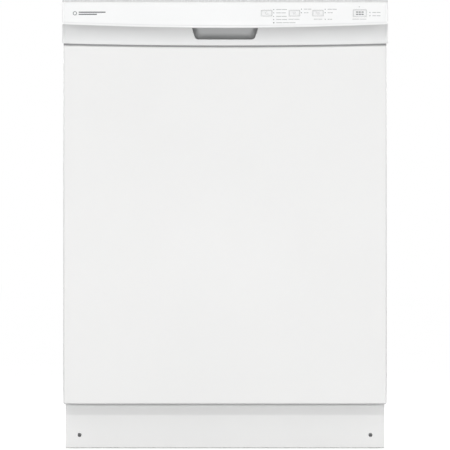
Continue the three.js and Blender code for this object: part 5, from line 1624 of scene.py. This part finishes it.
def control_board_details():
    """Raised pads over the relays on the back of the module's housing."""
    lo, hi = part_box("control_module")
    form = Form()
    z = lo.z + 0.004
    for x, wide, tall in MODULE_PADS:
        form.block((x, hi.y - 0.0002, z), (x + wide, hi.y + 0.0022, z + tall))
    piece(form, "control_module_pads", "door", MID_GREY, edge=0.0005)


def door_bottom_seal():
    """A wiper blade with a beaded edge, on a carrier strip."""
    lo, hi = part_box("door_bottom_seal")
    tall = hi.z - lo.z
    deep = hi.y - lo.y
    outline = [(lo.y, hi.z), (lo.y, hi.z - tall * 0.45), (lo.y + deep * 0.25, hi.z - tall * 0.62),
               (lo.y + deep * 0.3, lo.z + tall * 0.15),
               *arc((lo.y + deep * 0.5, lo.z + tall * 0.14), min(deep * 0.24, tall * 0.13), 180, 360, 7),
               (lo.y + deep * 0.62, hi.z - tall * 0.6), (hi.y, hi.z - tall * 0.42), (hi.y, hi.z)]
    form = Form().side_bar(outline, lo.x, hi.x)
    piece(form, "door_sweep", "door", SEAL, ["door_bottom_seal"])


# ---- Under the tub ----

WASH_PUMP_Z = 0.062
WASH_MOTOR = 0.0398
DRAIN_PUMP_Z = 0.066
CORE_SHEETS = 11
# Outline of the wash pump's scroll, and of the bearing cap at the motor's other end.
SCROLL = ((0.020, -0.004), (0.033, -0.003), (0.0358, 0.0), (0.0358, 0.018), (0.032, 0.0225), (0.022, 0.024),
          (0.018, 0.0255), (0, 0.0255))
MOTOR_CAP = ((0, 0), (0.018, 0.0003), (0.0218, 0.003), (0.0218, 0.012), (0, 0.012))
# Outline of the drain pump's chamber.
DRAIN_CHAMBER = ((0, 0), (0.022, 0.0002), (0.0258, 0.003), (0.0258, 0.016), (0.0220, 0.0185),
                 (0.0220, 0.0235), (0, 0.0235))


def pump_can(form, x0, x1, radius, y, z, fins):
    """A motor can along X with a rounded end and cooling fins round its middle."""
    length = x1 - x0
    pitch = (length - 0.028) / fins
    outline = [(0, 0), (radius * 0.82, 0), (radius * 0.95, 0.003), (radius, 0.008)]
    for i in range(fins):
        start = 0.014 + i * pitch
        outline += [(radius * r, start + pitch * t) for r, t in ((1, 0), (0.93, 0.2), (0.93, 0.6), (1, 0.8))]
    outline += [(radius, length - 0.004), (radius * 0.96, length), (0, length)]
    form.lathe(outline, (x0, y, z), ALONG_X, 44)


def circulation_pump():
    lo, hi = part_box("circulation_pump")
    y, z = MIDDLE_Y, WASH_PUMP_Z
    can = Form()
    pump_can(can, lo.x + 0.012, hi.x - 0.024, WASH_MOTOR, y, z, fins=9)
    piece(can, "wash_motor_can", "cabinet", MOTOR, ["circulation_pump"])
    volute = Form()
    volute.lathe(SCROLL, (hi.x - 0.0258, y, z), ALONG_X, 48)
    volute.lathe(MOTOR_CAP, (lo.x + 0.0003, y, z), ALONG_X, 36)
    for v, w in arc((y, z), 0.0325, 45, 315, 4):
        volute.rod((hi.x - 0.030, v, w), (hi.x - 0.001, v, w), 0.0030, 10)
    volute.block((lo.x + 0.045, y - 0.012, z + 0.0385), (lo.x + 0.085, y + 0.012, z + 0.0398))
    piece(volute, "wash_pump_volute", "cabinet", DARK)


def drain_pump():
    lo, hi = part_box("drain_pump")
    z = DRAIN_PUMP_Z
    form = Form()
    form.lathe(DRAIN_CHAMBER, (0, lo.y, z), ALONG_Y, 40)
    form.tube([(x, lo.y + 0.012, z) for x in (0, -0.030, -0.0436)], [0.0078, 0.0078, 0.0072], 20)
    form.block((-0.0235, lo.y + 0.0232, 0.0445), (0.0235, lo.y + 0.0290, 0.0915))
    for x in (-0.019, 0.019):
        form.rod((x, lo.y + 0.028, 0.050), (x, hi.y - 0.002, 0.050), 0.0024, 10)
    piece(form, "drain_pump_housing", "cabinet", DARK, ["drain_pump"], edge=0.0006)
    stack = Form()
    for i in range(CORE_SHEETS):
        y = lo.y + 0.0292 + i * 0.0020
        inset = 0.0004 * (i % 2)
        stack.block((-0.0215 + inset, y, 0.0470 + inset), (0.0215 - inset, y + 0.0019, 0.0890 - inset))
    piece(stack, "drain_pump_core", "cabinet", MOTOR)
    winding = [(0.0135, 0.0), (0.0120, 0.0004)] * 14
    outline = [(0, 0.0), *((r, 0.0004 * i + y) for i, (r, y) in enumerate(winding)), (0, 0.0120)]
    coil = Form().lathe(outline, (0, hi.y - 0.0125, 0.068), ALONG_Y, 32)
    piece(coil, "drain_pump_coil", "cabinet", COPPER)


PUMP_SPOUT_Y = 0.0973
HOSE_Y = 0.305  # both hoses climb this far back, behind the tub
HOSE_STRAP_Y = 0.2925
OUTLET_X = -0.120  # where the drain hose comes down
PORT_X, PORT_Z = -0.252, 0.320
VALVE_X = -0.226
DRAIN_ROUTE = (
    (-0.0443, PUMP_SPOUT_Y, 0.066), (-0.080, PUMP_SPOUT_Y, 0.066), (-0.130, PUMP_SPOUT_Y + 0.025, 0.066),
    (-0.170, 0.190, 0.070), (-0.190, 0.262, 0.070), (-0.197, HOSE_Y - 0.012, 0.080),
    (-0.202, HOSE_Y + 0.001, 0.112), (-0.205, HOSE_Y, 0.160), (-0.210, HOSE_Y, 0.260),
    (-0.210, HOSE_Y, 0.400),
    *((x, HOSE_Y, z) for x, z in arc((-0.165, 0.500), 0.045, 180, 0, 7)),
    *((OUTLET_X, HOSE_Y, z) for z in (0.400, 0.260, 0.170, 0.132)),
)
FILL_ROUTE = (
    (VALVE_X, -0.1497, 0.070), (VALVE_X, -0.120, 0.070), (-0.235, -0.040, 0.066), (-0.240, 0.060, 0.064),
    (-0.245, 0.160, 0.066), (-0.250, 0.258, 0.072), (PORT_X, HOSE_Y - 0.008, 0.084),
    *((PORT_X, HOSE_Y, z) for z in (0.116, 0.180, 0.250, 0.308)),
)
DRAIN_RADII = (0.0076, 0.0094)  # between the rings and on them
RING_PITCH = 0.0050
CUFF = 0.020
FILL_RADIUS = 0.0058
# Outline of the drain hose's end fitting, and of the port on the tub's rear wall.
OUTLET = ((0.0060, 0.0), (0.0100, 0.0), (0.0114, 0.0012), (0.0114, 0.012), (0.0098, 0.0135), (0.0098, 0.020),
          (0.0112, 0.0215), (0.0112, 0.036), (0.0096, 0.038), (0, 0.038))
PORT = ((0, 0), (0.0196, 0.0), (0.0199, 0.0010), (0.0199, 0.0040), (0.0185, 0.0050), (0.0125, 0.0054),
        (0.0098, 0.0080), (0.0096, 0.0180), (0.0080, 0.0208), (0, 0.0212))
# Each hose clip: its place, the way the hose runs there, and its radius.
CLIPS = (
    ((-0.050, PUMP_SPOUT_Y, 0.066), (-1, 0, 0), 0.0098),
    ((VALVE_X, -0.140, 0.070), ALONG_Y, 0.0066),
    ((PORT_X, HOSE_Y, 0.296), ALONG_Z, 0.0066),
    ((OUTLET_X, HOSE_Y, 0.137), ALONG_Z, 0.0100),
)
# Each saddle that holds a hose to the tub: its x, its z and its radius.
SADDLES = ((-0.210, 0.33, 0.0102), (OUTLET_X, 0.33, 0.0102), (PORT_X, 0.20, 0.0066))


def even_steps(path, step):
    """The same line with points at equal distances."""
    made = [path[0].copy()]
    left = step
    for a, b in zip(path, path[1:]):
        length = (b - a).length
        done = 0.0
        while length - done >= left:
            done += left
            made.append(a.lerp(b, done / length))
            left = step
        left -= length - done
    return made


def corrugated(form, route):
    """A hose with rings along it and plain cuffs at its ends."""
    low, high = DRAIN_RADII
    wave = (low, middle_of(low, high), high, middle_of(low, high))
    path = even_steps(catmull(route, 24), RING_PITCH / 4)
    plain = int(CUFF / (RING_PITCH / 4))
    form.tube(path, [wave[i % 4] if plain < i < len(path) - plain else low for i in range(len(path))], 12)


def spring_clip(form, centre, along, radius):
    """A wire hose clip of nearly two turns."""
    axis = Vector(along).normalized()
    across = axis.orthogonal().normalized()
    up = axis.cross(across)
    path = []
    for i in range(27):
        angle = math.radians(20 + 25 * i)
        out = across * math.cos(angle) + up * math.sin(angle)
        path.append(Vector(centre) + out * radius + axis * 0.0022 * i / 9)
    form.tube(path, 0.0008, 6)


def hoses():
    drain = Form()
    corrugated(drain, DRAIN_ROUTE)
    piece(drain, "drain_hose_corrugated", "cabinet", HOSE_GREY, ["drain_hose"])
    outlet = Form().lathe(OUTLET, (OUTLET_X, HOSE_Y, 0.096), ALONG_Z, 32)
    piece(outlet, "drain_outlet_cuff", "cabinet", DARK)
    fill = Form().tube(catmull(FILL_ROUTE, 14), FILL_RADIUS, 16)
    piece(fill, "fill_hose_tube", "cabinet", SEAL, ["fill_hose"])
    port = Form().lathe(PORT, (PORT_X, 0.2923, PORT_Z), ALONG_Y, 40)
    port.rod((PORT_X, HOSE_Y, 0.306), (PORT_X, HOSE_Y, 0.322), 0.0078, 24)
    for u, w in arc((PORT_X, PORT_Z), 0.0160, 30, 330, 6):
        port.rod((u, 0.2960, w), (u, 0.2984, w), 0.0014, 8)
    piece(port, "fill_port_elbow", "cabinet", DARK)
    clips = Form()
    for clip in CLIPS:
        spring_clip(clips, *clip)
    piece(clips, "hose_clips", "cabinet", ZINC)
    saddles = Form()
    for x, z, radius in SADDLES:
        ring = [(u, w, z) for u, w in arc((x, HOSE_Y), radius, -20, 200, 12)]
        saddles.tube([(x + radius, HOSE_STRAP_Y, z), *ring, (x - radius, HOSE_STRAP_Y, z)], 0.0011, 8)
    piece(saddles, "hose_saddles", "cabinet", ZINC)


def inlet_valve():
    """A solenoid valve: its body with the outlet barb, a wound coil and two blades."""
    lo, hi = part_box("inlet_valve")
    middle_x = middle_of(lo, hi).x
    body = Form()
    body.block((lo.x, -0.192, 0.036), (hi.x, -0.162, 0.066), 0.004)
    body.block((lo.x + 0.008, lo.y, 0.040), (hi.x - 0.008, -0.190, 0.056))
    body.rod((VALVE_X, -0.163, 0.062), (VALVE_X, -0.1505, 0.070), 0.0072, 20)
    barb = [(0.0072, 0), (0.0092, 0.0004), (0.0092, 0.003), (0.0062, 0.0045), (0, 0.0045)]
    body.lathe(barb, (VALVE_X, -0.1550, 0.070), ALONG_Y, 24)
    piece(body, "inlet_valve_body", "cabinet", DARK, ["inlet_valve"], edge=0.0006)
    outline = [(0, 0.0), (0.0148, 0.0), (0.0148, 0.002)]
    for i in range(8):
        outline += [(0.0142, 0.0026 + i * 0.0018), (0.0136, 0.0034 + i * 0.0018)]
    outline += [(0.0148, 0.0172), (0.0148, 0.0178), (0, 0.0178)]
    coil = Form().lathe(outline, (middle_x, -0.178, 0.0660), ALONG_Z, 36)
    piece(coil, "inlet_valve_coil", "cabinet", MOTOR)
    blades = Form()
    for x in (middle_x - 0.005, middle_x + 0.0035):
        blades.block((x, -0.1905, 0.0670), (x + 0.0015, -0.1860, 0.0825))
    piece(blades, "inlet_valve_blades", "cabinet", ZINC)


def junction_box():
    """A pressed box with a lid, its screw and two knock-outs."""
    lo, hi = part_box("junction_box")
    dress("junction_box", ZINC, 0.0008)
    front = -0.2062
    form = Form().block((lo.x + 0.003, front, 0.058), (hi.x - 0.003, front + 0.0012, hi.z - 0.003), 0.003)
    knock_out = [(0.0075, 0.0), (0.0075, -0.0006), (0.0066, -0.0006), (0.0066, -0.0002), (0, -0.0002)]
    for x in (0.212, 0.246):
        form.lathe(knock_out, (x, front, 0.073), ALONG_Y, 28)
    screw = [(0.0032, 0.0), (0.0030, -0.0010), (0.0010, -0.0015), (0, -0.0012)]
    form.lathe(screw, (0.229, front, 0.083), ALONG_Y, 18)
    piece(form, "junction_box_lid", "cabinet", ZINC)


NUT_RADIUS = 0.0090
THREAD_CREST, THREAD_ROOT, THREAD_PITCH = 0.0049, 0.0041, 0.0015


def levelling_leg(corner, name):
    """A threaded stud, and a hexagon nut moulded to a round pad."""
    node = f"levelling_leg_{corner}_{name}"
    lo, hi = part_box(node)
    x, y, _ = middle_of(lo, hi)
    radius = (hi.x - lo.x) / 2
    foot = [(0, 0), (radius - 0.0012, 0), (radius - 0.0002, 0.0010), (radius, 0.0022), (radius, 0.0052),
            (radius - 0.0016, 0.0072), (0.0105, 0.0080), (0.006, 0.0082), (0, 0.0082)]
    pad = Form().lathe(foot, (x, y, 0), ALONG_Z, 40)
    pad.slab([(x + u, y + v) for u, v in circle(NUT_RADIUS, 6)], 0.0080, 0.0150)
    piece(pad, f"leg_pad_{corner}_{name}", node, DARK, [node], edge=0.0005)
    outline = [(0, 0.0145)]
    z = 0.0150
    while z + THREAD_PITCH < hi.z - 0.0012:
        outline += [(THREAD_ROOT, z), (THREAD_CREST, z + THREAD_PITCH * 0.4),
                    (THREAD_CREST, z + THREAD_PITCH * 0.55)]
        z += THREAD_PITCH
    outline += [(THREAD_ROOT, z), (THREAD_ROOT * 0.85, hi.z), (0, hi.z)]
    stud = Form().lathe(outline, (x, y, 0), ALONG_Z, 20)
    piece(stud, f"leg_stud_{corner}_{name}", node, ZINC)


SPRING_X, SPRING_Z = 0.288, 0.062
SPRING_TURNS = 58
SPRING_WIRE = 0.00135
SPRING_REACH = 0.0070 - SPRING_WIRE  # from the coil's axis to the wire's middle


def door_spring(name, side):
    """A close-wound coil with a hook at each end, on a pressed anchor."""
    node = f"door_spring_{name}"
    lo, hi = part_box(node)
    x, z = side * SPRING_X, SPRING_Z
    path = []
    for t in spread(0, 1, SPRING_TURNS * 10 + 1):
        angle = FULL_TURN * t * SPRING_TURNS
        path.append(Vector((x + SPRING_REACH * math.cos(angle), lerp(lo.y + 0.024, lo.y + 0.194, t),
                            z + SPRING_REACH * math.sin(angle))))
    form = Form().tube(path, SPRING_WIRE, 6)
    for first, y, turn in ((path[0], lo.y + 0.002, -1), (path[-1], hi.y - 0.008, 1)):
        steps = (first.y + turn * 0.006, middle_of(first.y, y), y)
        hook = [first, *(Vector((x, along, z)) for along in steps)]
        form.tube(catmull(hook, 6), SPRING_WIRE, 8)
    piece(form, f"door_spring_coil_{name}", "cabinet", SPRING, [node])
    low, high = (side * 0.2967, hi.y - 0.010, 0.0572), (side * 0.2842, hi.y - 0.0085, 0.0668)
    anchor = Form().block(low, high, 0.002)
    piece(anchor, f"door_spring_anchor_{name}", "cabinet", ZINC)


def rail_details(name, side):
    """Rivets and stiffening beads on a side rail."""
    lo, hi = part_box(f"side_rail_{name}")
    outer = side * max(abs(lo.x), abs(hi.x))
    rivet = [(0.0036, -0.0030), (0.0036, -0.0001), (0, -0.0001)]
    form = Form()
    for y in (-0.18, -0.06, 0.06, 0.18, 0.27):
        form.lathe(rivet, (outer, y, 0.040), (side, 0, 0), 18)
    piece(form, f"side_rail_rivets_{name}", "cabinet", SCREW_STEEL)
    beads = Form()
    x = outer - side * 0.0019
    for z in (0.054, 0.084):
        ridge(beads, (x, -0.17, z), (x, 0.26, z), 0.0022, 0.008, (side, 0, 0))
    piece(beads, f"side_rail_beads_{name}", "cabinet", ZINC)


# CAD nodes whose shape is right, with the material and the width of their rounded edges.
CARRIED = (
    ("door_liner", LINER_GREY, 0.0018), ("dispenser_body", MID_GREY, 0.0010),
    ("dispenser_cover", PALE_GREY, 0.0007), ("latch_body", DARK, 0.0006), ("latch_claw", ZINC, 0.0003),
    ("latch_strike", ZINC, 0.0004), ("control_module", DARK, 0.0008), ("sump", DARK, 0.0008),
    ("front_crossmember", ZINC, 0.0005), ("rear_crossmember", ZINC, 0.0005),
)
CARRIED_ON_EACH_SIDE = (("hinge_arm", 0.0005), ("mounting_bracket", 0.0004), ("side_rail", 0.0005),
                        ("upper_rail", 0.0004))


def carried_nodes():
    for node, material, edge in CARRIED:
        dress(node, material, edge)
    for name, _ in SIDES:
        for node, edge in CARRIED_ON_EACH_SIDE:
            dress(f"{node}_{name}", ZINC, edge)


studio()
console()
end_webs()
handle_pocket()
for button_name in BUTTONS:
    button(button_name)
print_on_console()
door_panel()
seam_strip()
kick_plate()
kick_screws()
tub()
tub_ribs()
tub_rear_ribs()
tub_gasket()
insulation_blanket()
lower_rack()
upper_rack()
silverware_basket()
for side_name, _ in SIDES:
    for end_name in ("front", "rear"):
        rack_wheel(end_name, side_name)
spray_arms()
filter_plate()
filter_cup()
heating_element()
overfill_float()
feed_tube()
liner_mouldings()
dispenser_details()
rinse_cap()
door_vent()
control_board_details()
door_bottom_seal()
circulation_pump()
drain_pump()
hoses()
inlet_valve()
junction_box()
for side_name, side_sign in SIDES:
    door_spring(side_name, side_sign)
    rail_details(side_name, side_sign)
    for end_name in ("front", "rear"):
        levelling_leg(end_name, side_name)
carried_nodes()
